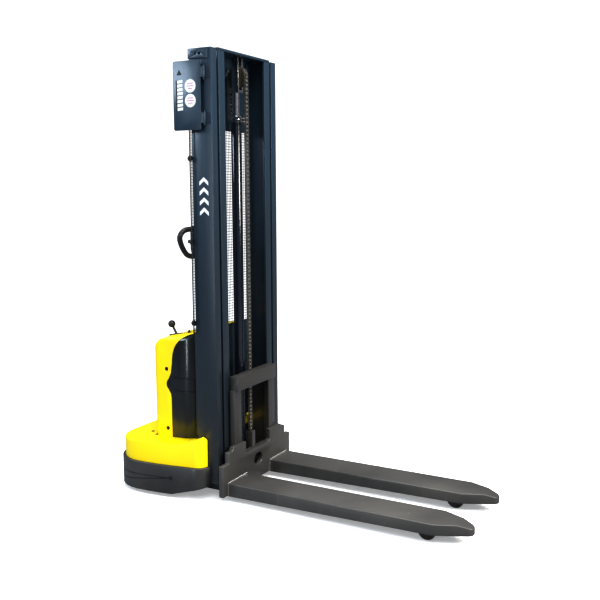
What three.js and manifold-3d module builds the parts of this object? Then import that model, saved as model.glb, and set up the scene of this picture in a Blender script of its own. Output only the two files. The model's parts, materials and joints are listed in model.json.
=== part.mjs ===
// Walkie stacker: a pedestrian lift truck with a two-stage mast, and straddle legs inside its forks.
// Millimetres. X runs forward from the fork roots, Y to the operator's left, Z up from the floor.
// The last group shifts all of it along X, so the origin is in the middle of the truck's length.
import * as THREE from "three";
import { mergeVertices } from "three/addons/utils/BufferGeometryUtils.js";
import Module from "manifold-3d";

const wasm = await Module();
wasm.setup();

// ---------------------------------------------------------------- driving dimensions
const GAP = 0.3; // between pieces that touch, and round a shaft in its bore
const SMALL_ROUND = 16; // sides of a small round
const LARGE_ROUND = 28; // sides of a large round

// Mast. Setbacks are behind the fork roots.
const MAST_HEIGHT = 2065;
const MAST_WIDTH = 562;
const MAST_SETBACK = 49;
const FOOT_PLATE = 10;
const CROSS_SIDE_INSET = 6;
const STUB_SHOULDER = 6; // wider than the stub
const STUB_EMBED = 1; // how far a welded piece runs into the one that carries it
const RAIL_DEPTH = 111;
const RAIL_FLANGE = 12;
const RAIL_WEB = 8;
const OUTER_FLANGE_WIDTH = 44;
const INNER_FLANGE_WIDTH = 50;
const STAGE_GAP = 15;
const INNER_MAST_BOTTOM = 100;
const TOP_PLATE = 12;
const ROLLER_PLAY = 0.5;
const ROLLER_WIDTH = 17;
const ROLLER_STUB_RADIUS = 12;

// Lift cylinder, pulley and chain
const CYLINDER_SETBACK = 102;
const CYLINDER_RADIUS = 25;
const CYLINDER_WALL = 6;
const CYLINDER_TOP_DROP = 305; // below the mast's top
const GLAND_HEIGHT = 23;
const ROD_RADIUS = 17.5;
const CHAIN_SETBACK = 46;
const CHAIN_DEPTH = 16;
const CHAIN_WIDTH = 22;
const PULLEY_RADIUS = 45; // at the chain's middle line
const PULLEY_WIDTH = 14;
const PULLEY_AXLE_RADIUS = 12;
const PULLEY_DROP = 100;
const CHAIN_ANCHOR_TOP = 265;

// Carriage and forks
const FORK_LENGTH = 1150;
const FORK_WIDTH = 170;
const FORK_CENTRE = 192;
const FORK_TOP = 88;
const FORK_PLATE = 6;
const FORK_WALL = 8;
const FORK_ROOT_BOTTOM = 25;
const FORK_TIP_BOTTOM = 42;
const FORK_TAPER = 150;
const FORK_NOSE_HALF_WIDTH = 33;
const FORK_NOSE_DROP = 16;
const PLATE_THICKNESS = 25;
const PLATE_BOTTOM = 28;
const PLATE_HALF_WIDTH = 315;
const PLATE_SHOULDER = 178;
const PLATE_STEP = 230;
const PLATE_TOP = 247;
const PLATE_STEP_HALF_WIDTH = 263;
const PLATE_TOP_HALF_WIDTH = 220;
const CUTOUT_HALF_WIDTH = 112;
const CUTOUT_BOTTOM = 185;
const OVAL_LENGTH = 75;
const OVAL_HEIGHT = 55;
const OVAL_Z = 128;
const UPRIGHT_INNER = 127;
const UPRIGHT_OUTER = 187;
const UPRIGHT_FRONT = 15;
const UPRIGHT_THICKNESS = 16;
const BEAM_BOTTOM = 504;
const BEAM_TOP = 571;
const BEAM_HALF_WIDTH = 177;
const BEAM_CLEARANCE = 2; // in front of the mast
const CUTOUT_CHAMFER = 12;
const BRACKET_INNER = 150;
const BRACKET_THICKNESS = 15;

// Straddle legs
const LEG_WIDTH = 130;
const LEG_BOTTOM = 38;
const LEG_CLEARANCE = 7; // under the fork's top plate
const LEG_SIDE_CLEARANCE = 5;
const LEG_END_SETBACK = 147; // from the fork's nose
const LOAD_ROLLER_RADIUS = 39;
const LOAD_ROLLER_WIDTH = 96;
const LOAD_ROLLER_SETBACK = 190;
const LOAD_AXLE_RADIUS = 10;
const LOAD_EYE_RADIUS = 22;

// Base: skirt, lower cover, frame
const BASE_REAR = 625;
const BASE_HALF_WIDTH = 385;
const BASE_FRONT_HALF_WIDTH = 350;
const BASE_FRONT_SETBACK = 90;
const BASE_FRONT_RADIUS = 65;
const BASE_REAR_RADIUS = 170;
const SKIRT_BOTTOM = 20;
const SKIRT_TOP = 157;
const SKIRT_WALL = 5;
const SKIRT_LIP = 22;
const SKIRT_FRONT_RISE = 45;
const COVER_INSET = 14;
const COVER_WALL = 4;
const COVER_REAR_TOP = 247;
const COVER_SIDE_TOP = 262;
const COVER_HORN_TOP = 298;
const MAST_SIDE_CLEARANCE = 4;
const DECK_BOTTOM = 142;
const DECK_THICKNESS = 8;
const DECK_INSET = 45;
const BRIDGE_WALL = 6;
const BRIDGE_TUNNEL_HALF_WIDTH = 145;
const BRIDGE_CLEARANCE = 34; // over the drive wheel
const TUNNEL_REAR_CLEARANCE = 43; // behind the drive wheel

// Pillar covers
const PILLAR_SETBACK = 20; // behind the mast
const PILLAR_DEPTH = 280;
const PILLAR_HALF_WIDTH = 248;
const PILLAR_WALL = 4;
const PILLAR_BOTTOM = 205;
const PILLAR_FRONT_TOP = 782;
const PILLAR_SLOPE = 0.178;
const PILLAR_REAR_RADIUS = 60;
const PILLAR_FRONT_RADIUS = 90;
const PILLAR_TOP_RADIUS = 34;
const PILLAR_CROWN_RADIUS = 130; // where the top turns down to the rear
const PILLAR_CLEARANCE = 1.5;
const SEAM_SETBACK = 156; // between the covers, behind the pillar's front
const BULGE_HEIGHT = 517;

// Drive unit, tiller
const DRIVE_WHEEL_SETBACK = 15; // behind the pillar's front
const DRIVE_WHEEL_RADIUS = 115;
const DRIVE_WHEEL_WIDTH = 70;
const DRIVE_HUB_RADIUS = 88;
const DRIVE_AXLE_RADIUS = 18;
const YOKE_THICKNESS = 10;
const YOKE_CLEARANCE = 6;
const TURNTABLE_RADIUS = 80;
const SPINDLE_RADIUS = 55;
const MOTOR_RADIUS = 66;
const MOTOR_HEIGHT = 195;
const COLUMN_RADIUS = 18;
const BOSS_RADIUS = 46;
const BOSS_HEIGHT = 16;
const TILLER_PIVOT_Z = 838;
const TILLER_EYE_RADIUS = 20;
const TILLER_EYE_HALF_WIDTH = 13;
const TILLER_PIN_RADIUS = 8;
const CLEVIS_THICKNESS = 10;
const TILLER_LEAN = 8;
const HEAD_BOTTOM = 1106;
const HEAD_TOP = 1272;
const HEAD_HALF_WIDTH = 46;
const HEAD_DEPTH = 66;
const GRIP_RADIUS = 13;
const GRIP_REACH = 176;
const BUTTON_RADIUS = 20;
const BUTTON_TRAVEL = 8;
const THROTTLE_RADIUS = 6;
const THROTTLE_Z = 1195;

// Lever and key on the pillar's top
const LEVER_SETBACK = 173; // behind the pillar's front, as the key is
const LEVER_Y = -167;
const LEVER_PIVOT_Z = 742;
const LEVER_ROD_RADIUS = 6;
const LEVER_SLOT_PLAY = 5;
const LEVER_REACH = 32;
const LEVER_RISE = 56;
const KNOB_RADIUS = 18;
const KEY_SETBACK = 92;
const KEY_Y = -180;
const KEY_RADIUS = 9;
const KEY_STAND = 4; // above the pillar's top
const KEY_BOW = 9;

// Casters
const CASTER_SETBACK = 262;
const CASTER_Y = 285;
const CASTER_TRAIL = 24;
const CASTER_WHEEL_RADIUS = 45;
const CASTER_WHEEL_WIDTH = 32;
const CASTER_AXLE_RADIUS = 6;

// Guard, sign plate and bracket
const GUARD_THICKNESS = 3;
const GUARD_HALF_WIDTH = 297;
const GUARD_BOTTOM = 786;
const TOP_CROSS_HEIGHT = 336;
const TOP_CROSS_STEP = 122;
const CROSS_THICKNESS = 12;
const REAR_PLATE_HEIGHT = 486;
const SIGN_LENGTH = 148;
const SIGN_CORNER = 8;
const SIGN_HEIGHT = 302;
const SIGN_TOP_DROP = 54;
const SIGN_THICKNESS = 3;
const SIGN_FRONT_SETBACK = 89;
const HINGE_RADIUS = 6;
const HINGE_LENGTH = 48;
const HINGE_INSET = 28; // from the plate's ends
const HINGE_SETBACK = 82;

// ---------------------------------------------------------------- finishes
function finish(color, roughness, metalness) {
  return new THREE.MeshStandardMaterial({ color, roughness, metalness });
}
const yellow = finish(0xffd800, 0.4, 0);
const mastPaint = finish(0x2a3640, 0.45, 0.2);
const carriagePaint = finish(0x4a4a48, 0.5, 0.2);
const glossBlack = finish(0x15181b, 0.25, 0);
const charcoal = finish(0x3a3b3d, 0.6, 0);
const satinBlack = finish(0x1c1c1d, 0.5, 0);
const steel = finish(0xb6b8ba, 0.3, 1);
const zinc = finish(0xb09a62, 0.4, 1);
const rubber = finish(0x222222, 0.8, 0);
const polyurethane = finish(0x8a5a2a, 0.6, 0);
const red = finish(0xb81f1c, 0.4, 0);

// ---------------------------------------------------------------- shapes and booleans
// A closed geometry as a solid, whichever way its faces were wound.
function solid(geometry) {
  const bare = new THREE.BufferGeometry();
  const flat = geometry.index ? geometry.toNonIndexed() : geometry;
  bare.setAttribute("position", flat.getAttribute("position"));
  const merged = mergeVertices(bare, 1e-3);
  const corners = [];
  for (let i = 0; i < merged.index.count; i += 3) {
    const [a, b, c] = [0, 1, 2].map((k) => merged.index.getX(i + k));
    if (a !== b && b !== c && c !== a) corners.push(a, b, c);
  }
  const vertProperties = merged.attributes.position.array;
  const build = (list) =>
    new wasm.Manifold(
      new wasm.Mesh({ numProp: 3, vertProperties, triVerts: new Uint32Array(list) }),
    );
  const made = build(corners);
  return made.volume() >= 0 ? made : build(corners.reverse());
}

// A box between two values on each axis, in either order.
function box(xs, ys, zs) {
  const size = [xs, ys, zs].map(([a, b]) => Math.abs(b - a));
  const middle = [xs, ys, zs].map(([a, b]) => (a + b) / 2);
  return solid(new THREE.BoxGeometry(...size).translate(...middle));
}

// The images of a drawing's two axes and of its depth, for a prism along each world axis.
const AXIS_BASES = {
  x: [new THREE.Vector3(0, 1, 0), new THREE.Vector3(0, 0, 1), new THREE.Vector3(1, 0, 0)],
  y: [new THREE.Vector3(1, 0, 0), new THREE.Vector3(0, 0, 1), new THREE.Vector3(0, -1, 0)],
  z: [new THREE.Vector3(1, 0, 0), new THREE.Vector3(0, 1, 0), new THREE.Vector3(0, 0, 1)],
};

// An outline of [u, v] points carried along an axis: (y, z) along x, (x, z) along y, (x, y) along z.
function prism(axis, outline, [from, to]) {
  const shape = new THREE.Shape(outline.map(([u, v]) => new THREE.Vector2(u, v)));
  const depth = Math.abs(to - from);
  const geometry = new THREE.ExtrudeGeometry(shape, { depth, bevelEnabled: false });
  geometry.applyMatrix4(new THREE.Matrix4().makeBasis(...AXIS_BASES[axis]));
  const start = axis === "y" ? Math.max(from, to) : Math.min(from, to);
  return solid(geometry.translate(...["x", "y", "z"].map((name) => (name === axis ? start : 0))));
}

// A round bar along an axis. The centre is given on the other two axes, in x, y, z order.
function bar(axis, [u, v], radius, span, sides = SMALL_ROUND, endRadius = radius) {
  const length = Math.abs(span[1] - span[0]);
  const middle = (span[0] + span[1]) / 2;
  const geometry = new THREE.CylinderGeometry(endRadius, radius, length, sides);
  if (axis === "x") geometry.rotateZ(-Math.PI / 2).translate(middle, u, v);
  if (axis === "y") geometry.translate(u, middle, v);
  if (axis === "z") geometry.rotateX(Math.PI / 2).translate(u, v, middle);
  return solid(geometry);
}

// The room for a round piece: its flats clear the piece by the gap, however far that piece is turned.
function bore(axis, centre, radius, span, sides = SMALL_ROUND) {
  return bar(axis, centre, (radius + GAP) / Math.cos(Math.PI / sides), span, sides);
}

// A ring along an axis, bored for a shaft.
function ring(axis, centre, radius, shaftRadius, span, sides = LARGE_ROUND) {
  const long = [Math.min(...span) - 1, Math.max(...span) + 1];
  return bar(axis, centre, radius, span, sides).subtract(bore(axis, centre, shaftRadius, long));
}

// A bar of round section along a curve through points.
function tubeAlong(points, radius, sides, steps) {
  const path = new THREE.CatmullRomCurve3(points.map((p) => new THREE.Vector3(...p)));
  const section = new THREE.Shape().absarc(0, 0, radius, 0, 2 * Math.PI);
  const options = { steps, extrudePath: path, curveSegments: sides, bevelEnabled: false };
  return solid(new THREE.ExtrudeGeometry(section, options));
}

// Points of an arc, in degrees.
function arc(cx, cy, radius, from, to, steps) {
  return Array.from({ length: steps + 1 }, (_, i) => {
    const a = ((from + ((to - from) * i) / steps) * Math.PI) / 180;
    return [cx + radius * Math.cos(a), cy + radius * Math.sin(a)];
  });
}

const union = (first, ...others) => others.reduce((all, next) => all.add(next), first);
const cut = (first, ...others) => others.reduce((all, next) => all.subtract(next), first);

const truck = new THREE.Group();

function add(name, material, shape) {
  const made = shape.getMesh();
  const geometry = new THREE.BufferGeometry();
  geometry.setAttribute("position", new THREE.BufferAttribute(made.vertProperties, 3));
  geometry.setIndex(new THREE.BufferAttribute(made.triVerts, 1));
  const mesh = new THREE.Mesh(geometry, material);
  mesh.name = name;
  truck.add(mesh);
}

// The truck is alike on its two sides: s is 1 on the operator's left and -1 on the right.
const SIDES = { left: 1, right: -1 };
function onBothSides(make) {
  for (const [side, s] of Object.entries(SIDES)) make(side, s);
}

// ---------------------------------------------------------------- places that several pieces share
const mastFront = -MAST_SETBACK;
const mastRear = mastFront - RAIL_DEPTH;
const railMiddle = (mastFront + mastRear) / 2;
const outerFace = MAST_WIDTH / 2;
const outerWebInner = outerFace - RAIL_WEB;
const outerFlangeInner = outerFace - OUTER_FLANGE_WIDTH;
const innerFlangeOuter = outerFlangeInner - STAGE_GAP;
const innerFlangeInner = innerFlangeOuter - INNER_FLANGE_WIDTH;
const innerWebMiddle = (innerFlangeOuter + innerFlangeInner) / 2;
const innerMastTop = MAST_HEIGHT - TOP_PLATE / 2 - GAP;
const rollerRadius = RAIL_DEPTH / 2 - RAIL_FLANGE - ROLLER_PLAY;

const legTop = FORK_TOP - FORK_PLATE - LEG_CLEARANCE;
const legHalf = LEG_WIDTH / 2;
const footPlateTop = legTop + GAP + FOOT_PLATE;

// ---------------------------------------------------------------- mast, outer stage
const frontFlange = [mastFront - RAIL_FLANGE, mastFront];
const rearFlange = [mastRear, mastRear + RAIL_FLANGE];
const fullDepth = [mastRear, mastFront];
const outerHeights = [footPlateTop + GAP, MAST_HEIGHT];
const topRollerZ = innerMastTop - rollerRadius - 4;
const innerWebOuter = innerWebMiddle + RAIL_WEB / 2;
const innerWebInner = innerWebMiddle - RAIL_WEB / 2;
const rollerGap = 2.5;
const topRollerY = innerWebOuter + rollerGap + ROLLER_WIDTH / 2;
const shoulderRadius = ROLLER_STUB_RADIUS + STUB_SHOULDER;

onBothSides((side, s) => {
  const across = (a, b) => [s * a, s * b];
  const web = box(fullDepth, across(outerWebInner, outerFace), outerHeights);
  const front = box(frontFlange, across(outerFlangeInner, outerFace), outerHeights);
  const rear = box(rearFlange, across(outerFlangeInner, outerFace), outerHeights);
  const stubAt = [railMiddle, topRollerZ];
  const stubEnd = topRollerY - ROLLER_WIDTH / 2 + 1;
  const welded = outerWebInner + STUB_EMBED;
  const stub = bar("y", stubAt, ROLLER_STUB_RADIUS, across(stubEnd, welded));
  const shoulder = bar("y", stubAt, shoulderRadius, across(topRollerY + ROLLER_WIDTH / 2 + 1, welded));
  add(`outer_channel_${side}`, mastPaint, union(web, front, rear, stub, shoulder));
});

// The foot plate closes the channels' lower ends and stands on the legs.
const footPlate = box(fullDepth, [-outerFace, outerFace], [legTop + GAP, footPlateTop]);
add("outer_foot_plate", mastPaint, footPlate);

const crossFront = mastRear - GAP;
const crossHalf = outerFace - CROSS_SIDE_INSET;
const rearPlate = box(
  [crossFront - CROSS_THICKNESS, crossFront],
  [-crossHalf, crossHalf],
  [GUARD_BOTTOM - REAR_PLATE_HEIGHT, GUARD_BOTTOM - GAP],
);
add("outer_rear_plate", mastPaint, rearPlate);

const topCrossBottom = MAST_HEIGHT - TOP_CROSS_HEIGHT;
const topCross = union(
  box(
    [crossFront - CROSS_THICKNESS, crossFront],
    [-crossHalf, crossHalf],
    [topCrossBottom, MAST_HEIGHT - 2],
  ),
  box(
    [crossFront - CROSS_THICKNESS - 10, crossFront - 1],
    [-crossHalf, crossHalf],
    [topCrossBottom, topCrossBottom + TOP_CROSS_STEP],
  ),
);
add("outer_top_cross", mastPaint, topCross);

// ---------------------------------------------------------------- mast, inner stage
const innerHeights = [INNER_MAST_BOTTOM, innerMastTop];
const bottomRollerZ = INNER_MAST_BOTTOM + rollerRadius + 6;
const bottomRollerY = (outerFlangeInner + outerWebInner) / 2;

onBothSides((side, s) => {
  const across = (a, b) => [s * a, s * b];
  const web = box(fullDepth, across(innerWebInner, innerWebOuter), innerHeights);
  const front = box(frontFlange, across(innerFlangeInner, innerFlangeOuter), innerHeights);
  const rear = box(rearFlange, across(innerFlangeInner, innerFlangeOuter), innerHeights);
  const stubAt = [railMiddle, bottomRollerZ];
  const stubEnd = bottomRollerY + ROLLER_WIDTH / 2 - 1;
  const welded = innerWebOuter - STUB_EMBED;
  const stub = bar("y", stubAt, ROLLER_STUB_RADIUS, across(welded, stubEnd));
  const shoulderEnd = bottomRollerY - ROLLER_WIDTH / 2 - 1;
  const shoulder = bar("y", stubAt, shoulderRadius, across(welded, shoulderEnd));
  add(`inner_channel_${side}`, mastPaint, union(web, front, rear, stub, shoulder));
});

// The top cross ties the inner channels and carries a plate behind the pulley.
const pulleyX = -CHAIN_SETBACK - PULLEY_RADIUS;
const pulleyZ = MAST_HEIGHT - PULLEY_DROP;
const rearChainX = pulleyX - PULLEY_RADIUS;
const pulleyPlateFront = rearChainX - CHAIN_DEPTH / 2 - 1;
const topPlateHeights = [innerMastTop + GAP, innerMastTop + GAP + TOP_PLATE];
add(
  "inner_top_cross",
  mastPaint,
  union(
    box([mastRear + 4, mastFront], [-innerFlangeOuter, innerFlangeOuter], topPlateHeights),
    box([pulleyPlateFront - 6, pulleyPlateFront], [-80, 80], [pulleyZ, topPlateHeights[0] + 1]),
  ),
);
add(
  "inner_bottom_cross",
  mastPaint,
  box(
    [mastRear + 1, mastRear + RAIL_FLANGE],
    [-innerFlangeInner + GAP, innerFlangeInner - GAP],
    [INNER_MAST_BOTTOM, INNER_MAST_BOTTOM + 110],
  ),
);

// ---------------------------------------------------------------- lift cylinder, pulley and chain
const cylinderX = -CYLINDER_SETBACK;
const cylinderTop = MAST_HEIGHT - CYLINDER_TOP_DROP;
const glandTop = cylinderTop + GAP + GLAND_HEIGHT;
const cylinderAt = [cylinderX, 0];
const tubeBottom = footPlateTop + GAP;
add(
  "cylinder_tube",
  satinBlack,
  cut(
    bar("z", cylinderAt, CYLINDER_RADIUS, [tubeBottom, cylinderTop], LARGE_ROUND),
    bar("z", cylinderAt, CYLINDER_RADIUS - CYLINDER_WALL, [tubeBottom + 14, cylinderTop + 1], LARGE_ROUND),
  ),
);

// The gland carries the fixed end of the chain's rear strand on a lug.
const lugHeights = [glandTop - 16, glandTop + 14];
const lug = box(
  [rearChainX - CHAIN_DEPTH / 2 + 1, cylinderX],
  [-CHAIN_WIDTH / 2, CHAIN_WIDTH / 2],
  lugHeights,
);
add(
  "cylinder_gland",
  steel,
  cut(
    union(bar("z", cylinderAt, CYLINDER_RADIUS + 4, [cylinderTop + GAP, glandTop], LARGE_ROUND), lug),
    bore("z", cylinderAt, ROD_RADIUS, [cylinderTop - 1, glandTop + 20], LARGE_ROUND),
  ),
);

// The rod ends in a yoke that holds the pulley's axle and bears on the top cross.
const cheekInner = PULLEY_WIDTH / 2 + 6;
const cheekOuter = cheekInner + 8;
const yokeFloor = pulleyZ - PULLEY_RADIUS - 24;
const cheek = (s) =>
  box([pulleyX - 20, pulleyX + 16], [s * cheekInner, s * cheekOuter], [yokeFloor, innerMastTop]);
add(
  "piston_rod",
  steel,
  union(
    bar("z", cylinderAt, ROD_RADIUS, [tubeBottom + 16, yokeFloor + 1], LARGE_ROUND),
    box([cylinderX - 18, pulleyX + 16], [-cheekOuter, cheekOuter], [yokeFloor, yokeFloor + 14]),
    cheek(1),
    cheek(-1),
    bar("y", [pulleyX, pulleyZ], PULLEY_AXLE_RADIUS, [-cheekOuter, cheekOuter]),
  ),
);

// The pulley has two flanges and a groove that the chain lies in.
const grooveRadius = PULLEY_RADIUS - CHAIN_DEPTH / 2;
const flangeRadius = PULLEY_RADIUS + 2;
const pulleyAt = [pulleyX, pulleyZ];
const pulleyFlange = (s) =>
  bar("y", pulleyAt, flangeRadius, [s * (PULLEY_WIDTH / 2), s * (PULLEY_WIDTH / 2 + 4)], LARGE_ROUND);
add(
  "chain_pulley",
  zinc,
  cut(
    union(
      bar("y", pulleyAt, grooveRadius - GAP, [-PULLEY_WIDTH / 2 - 1, PULLEY_WIDTH / 2 + 1], LARGE_ROUND),
      pulleyFlange(1),
      pulleyFlange(-1),
    ),
    bore("y", pulleyAt, PULLEY_AXLE_RADIUS, [-cheekOuter, cheekOuter]),
  ),
);

// The strands are plain bars: their links are worked out where the chain is drawn.
const strand = (x, heights, width) =>
  box([x - CHAIN_DEPTH / 2, x + CHAIN_DEPTH / 2], [-width / 2, width / 2], heights);
const pulleyGroove = bar("y", pulleyAt, grooveRadius, [-cheekOuter, cheekOuter], LARGE_ROUND);
const strandWidth = Math.min(CHAIN_WIDTH, PULLEY_WIDTH - 2 * GAP);
const frontChainX = -CHAIN_SETBACK;
const frontStrand = union(
  strand(frontChainX, [CHAIN_ANCHOR_TOP + GAP, pulleyZ - PULLEY_RADIUS - 10], CHAIN_WIDTH),
  strand(frontChainX, [CHAIN_ANCHOR_TOP + GAP, pulleyZ - 1], strandWidth),
);
add("lift_chain_front", satinBlack, cut(frontStrand, pulleyGroove));
const rearStrand = union(
  strand(rearChainX, [lugHeights[1] + GAP, pulleyZ - PULLEY_RADIUS - 10], CHAIN_WIDTH),
  strand(rearChainX, [lugHeights[1] + GAP, pulleyZ - 1], strandWidth),
);
add("lift_chain_rear", satinBlack, cut(rearStrand, pulleyGroove));

// ---------------------------------------------------------------- guard, bracket and sign plate
add(
  "mesh_guard",
  satinBlack,
  box(
    [crossFront - GUARD_THICKNESS, crossFront],
    [-GUARD_HALF_WIDTH, GUARD_HALF_WIDTH],
    [GUARD_BOTTOM, topCrossBottom - GAP],
  ),
);

const bracketHole = (x) => bar("y", [x, MAST_HEIGHT - 25], 6, [-outerFace - 20, -outerFace + 5]);
add(
  "sign_bracket",
  mastPaint,
  cut(
    box(
      [mastRear - 8, mastFront - 13],
      [-outerFace - 6, -outerFace - GAP],
      [MAST_HEIGHT - 45, MAST_HEIGHT - 1],
    ),
    bracketHole(railMiddle - 22),
    bracketHole(railMiddle),
  ),
);

const signTop = MAST_HEIGHT - SIGN_TOP_DROP;
const signY = -outerFace - 25;
const hingeAt = [-HINGE_SETBACK, -outerFace - HINGE_RADIUS - 3];
const signFront = -SIGN_FRONT_SETBACK;
const signRear = signFront - SIGN_LENGTH;
const signBottom = signTop - SIGN_HEIGHT;
const signOutline = [
  ...arc(signFront - SIGN_CORNER, signTop - SIGN_CORNER, SIGN_CORNER, 0, 90, 3),
  ...arc(signRear + SIGN_CORNER, signTop - SIGN_CORNER, SIGN_CORNER, 90, 180, 3),
  ...arc(signRear + SIGN_CORNER, signBottom + SIGN_CORNER, SIGN_CORNER, 180, 270, 3),
  ...arc(signFront - SIGN_CORNER, signBottom + SIGN_CORNER, SIGN_CORNER, 270, 360, 3),
];
const signHinge = (low) =>
  union(
    bar("z", hingeAt, HINGE_RADIUS, [low, low + HINGE_LENGTH], SMALL_ROUND),
    box([signFront - 4, hingeAt[0] + 3], [signY, hingeAt[1] - 3], [low + 1, low + HINGE_LENGTH - 1]),
  );
add(
  "sign_plate",
  mastPaint,
  union(
    prism("y", signOutline, [signY, signY + SIGN_THICKNESS]),
    signHinge(signTop - HINGE_INSET - HINGE_LENGTH),
    signHinge(signBottom + HINGE_INSET),
  ),
);

// ---------------------------------------------------------------- carriage
const legSlotInner = FORK_CENTRE - legHalf - LEG_SIDE_CLEARANCE;
const legSlotOuter = FORK_CENTRE + legHalf + LEG_SIDE_CLEARANCE;
const halfPlate = [
  [CUTOUT_HALF_WIDTH - CUTOUT_CHAMFER, CUTOUT_BOTTOM],
  [CUTOUT_HALF_WIDTH, CUTOUT_BOTTOM + CUTOUT_CHAMFER],
  [CUTOUT_HALF_WIDTH, PLATE_TOP],
  [PLATE_TOP_HALF_WIDTH, PLATE_TOP],
  [PLATE_TOP_HALF_WIDTH + 8, PLATE_STEP],
  [PLATE_STEP_HALF_WIDTH, PLATE_STEP],
  [PLATE_STEP_HALF_WIDTH, PLATE_SHOULDER],
  [PLATE_HALF_WIDTH, PLATE_SHOULDER],
  [PLATE_HALF_WIDTH, PLATE_BOTTOM],
  [legSlotOuter, PLATE_BOTTOM],
  [legSlotOuter, FORK_TOP - FORK_PLATE],
  [legSlotInner, FORK_TOP - FORK_PLATE],
  [legSlotInner, PLATE_BOTTOM],
];
const mirroredPlate = halfPlate.map(([y, z]) => [-y, z]).reverse();
const ovalHalf = (OVAL_LENGTH - OVAL_HEIGHT) / 2;
const oval = [
  ...arc(ovalHalf, OVAL_Z, OVAL_HEIGHT / 2, -90, 90, 8),
  ...arc(-ovalHalf, OVAL_Z, OVAL_HEIGHT / 2, 90, 270, 8),
];
const plateBlank = prism("x", [...halfPlate, ...mirroredPlate], [-PLATE_THICKNESS, 0]);
add("carriage_plate", carriagePaint, cut(plateBlank, prism("x", oval, [-PLATE_THICKNESS - 1, 1])));

// The frame behind the plate: uprights, beam, the chain's anchor and the two roller brackets.
const plateBack = -PLATE_THICKNESS - GAP;
const uprightBack = plateBack - UPRIGHT_THICKNESS;
const bracketOuter = BRACKET_INNER + BRACKET_THICKNESS;
const carriageRollerZs = { lower: 120 + rollerRadius, upper: BEAM_BOTTOM - rollerRadius + 4 };
const carriageRollerY = (bracketOuter + 4 + innerWebInner) / 2;
const frameSide = (s) => {
  const across = (a, b) => [s * a, s * b];
  const upright = across(UPRIGHT_INNER, UPRIGHT_OUTER);
  const stubEnd = carriageRollerY + ROLLER_WIDTH / 2 - 1;
  const stub = (z) =>
    bar("y", [railMiddle, z], ROLLER_STUB_RADIUS, across(bracketOuter - STUB_EMBED, stubEnd));
  return union(
    box([uprightBack, -UPRIGHT_FRONT], upright, [PLATE_TOP + GAP, BEAM_BOTTOM + 1]),
    box([uprightBack, plateBack], upright, [110, PLATE_TOP + 1]),
    box([mastRear + 15, uprightBack + 1], across(BRACKET_INNER, bracketOuter), [112, BEAM_BOTTOM]),
    stub(carriageRollerZs.lower),
    stub(carriageRollerZs.upper),
  );
};
const beamBack = mastFront + BEAM_CLEARANCE;
const chainSlotHalf = CHAIN_WIDTH / 2 + 7;
const beam = cut(
  box([beamBack, -1], [-BEAM_HALF_WIDTH, BEAM_HALF_WIDTH], [BEAM_BOTTOM, BEAM_TOP]),
  box(
    [beamBack - 1, frontChainX + CHAIN_DEPTH / 2 + 3],
    [-chainSlotHalf, chainSlotHalf],
    [BEAM_BOTTOM - 1, BEAM_TOP + 1],
  ),
);
const anchorBar = box(
  [uprightBack, plateBack],
  [-UPRIGHT_OUTER, UPRIGHT_OUTER],
  [CUTOUT_BOTTOM - 45, CUTOUT_BOTTOM - 2],
);
const anchor = box(
  [frontChainX - CHAIN_DEPTH / 2 - 1, plateBack - 1],
  [-CHAIN_WIDTH / 2 - 2, CHAIN_WIDTH / 2 + 2],
  [CUTOUT_BOTTOM - 30, CHAIN_ANCHOR_TOP],
);
add("carriage_frame", carriagePaint, union(frameSide(1), frameSide(-1), beam, anchorBar, anchor));

// ---------------------------------------------------------------- forks
// Half the fork's plan, from its root to its nose, drawn in by an inset.
function forkPlan(centre, inset, root) {
  const half = FORK_WIDTH / 2 - inset;
  const noseHalf = FORK_NOSE_HALF_WIDTH - inset;
  const taperFrom = FORK_LENGTH - FORK_TAPER - inset / 3;
  const noseX = FORK_LENGTH - FORK_NOSE_HALF_WIDTH * 0.72;
  const nose = arc(noseX - noseHalf * 0.28, centre, noseHalf, -80, 80, 8);
  return [
    [root, centre - half],
    [taperFrom, centre - half],
    ...nose,
    [taperFrom, centre + half],
    [root, centre + half],
  ];
}
onBothSides((side, s) => {
  const centre = s * FORK_CENTRE;
  const block = prism("z", forkPlan(centre, 0, GAP), [FORK_ROOT_BOTTOM, FORK_TOP]);
  const channel = prism("z", forkPlan(centre, FORK_WALL, -1), [FORK_ROOT_BOTTOM - 1, FORK_TOP - FORK_PLATE]);
  const wide = [centre - FORK_WIDTH, centre + FORK_WIDTH];
  const underside = prism(
    "y",
    [
      [0, FORK_ROOT_BOTTOM - 5],
      [0, FORK_ROOT_BOTTOM],
      [FORK_LENGTH + 1, FORK_TIP_BOTTOM],
      [FORK_LENGTH + 1, FORK_ROOT_BOTTOM - 5],
    ],
    wide,
  );
  const noseSlope = prism(
    "y",
    [
      [FORK_LENGTH - 60, FORK_TOP + 1],
      [FORK_LENGTH - 60, FORK_TOP],
      [FORK_LENGTH + 1, FORK_TOP - FORK_NOSE_DROP],
      [FORK_LENGTH + 1, FORK_TOP + 1],
    ],
    wide,
  );
  const noseFill = box([FORK_LENGTH - 72, FORK_LENGTH], wide, [FORK_TOP - FORK_NOSE_DROP - 10, FORK_TOP]);
  add(
    `fork_${side}`,
    carriagePaint,
    cut(block, channel.subtract(noseFill), underside, noseSlope),
  );
});

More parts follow.
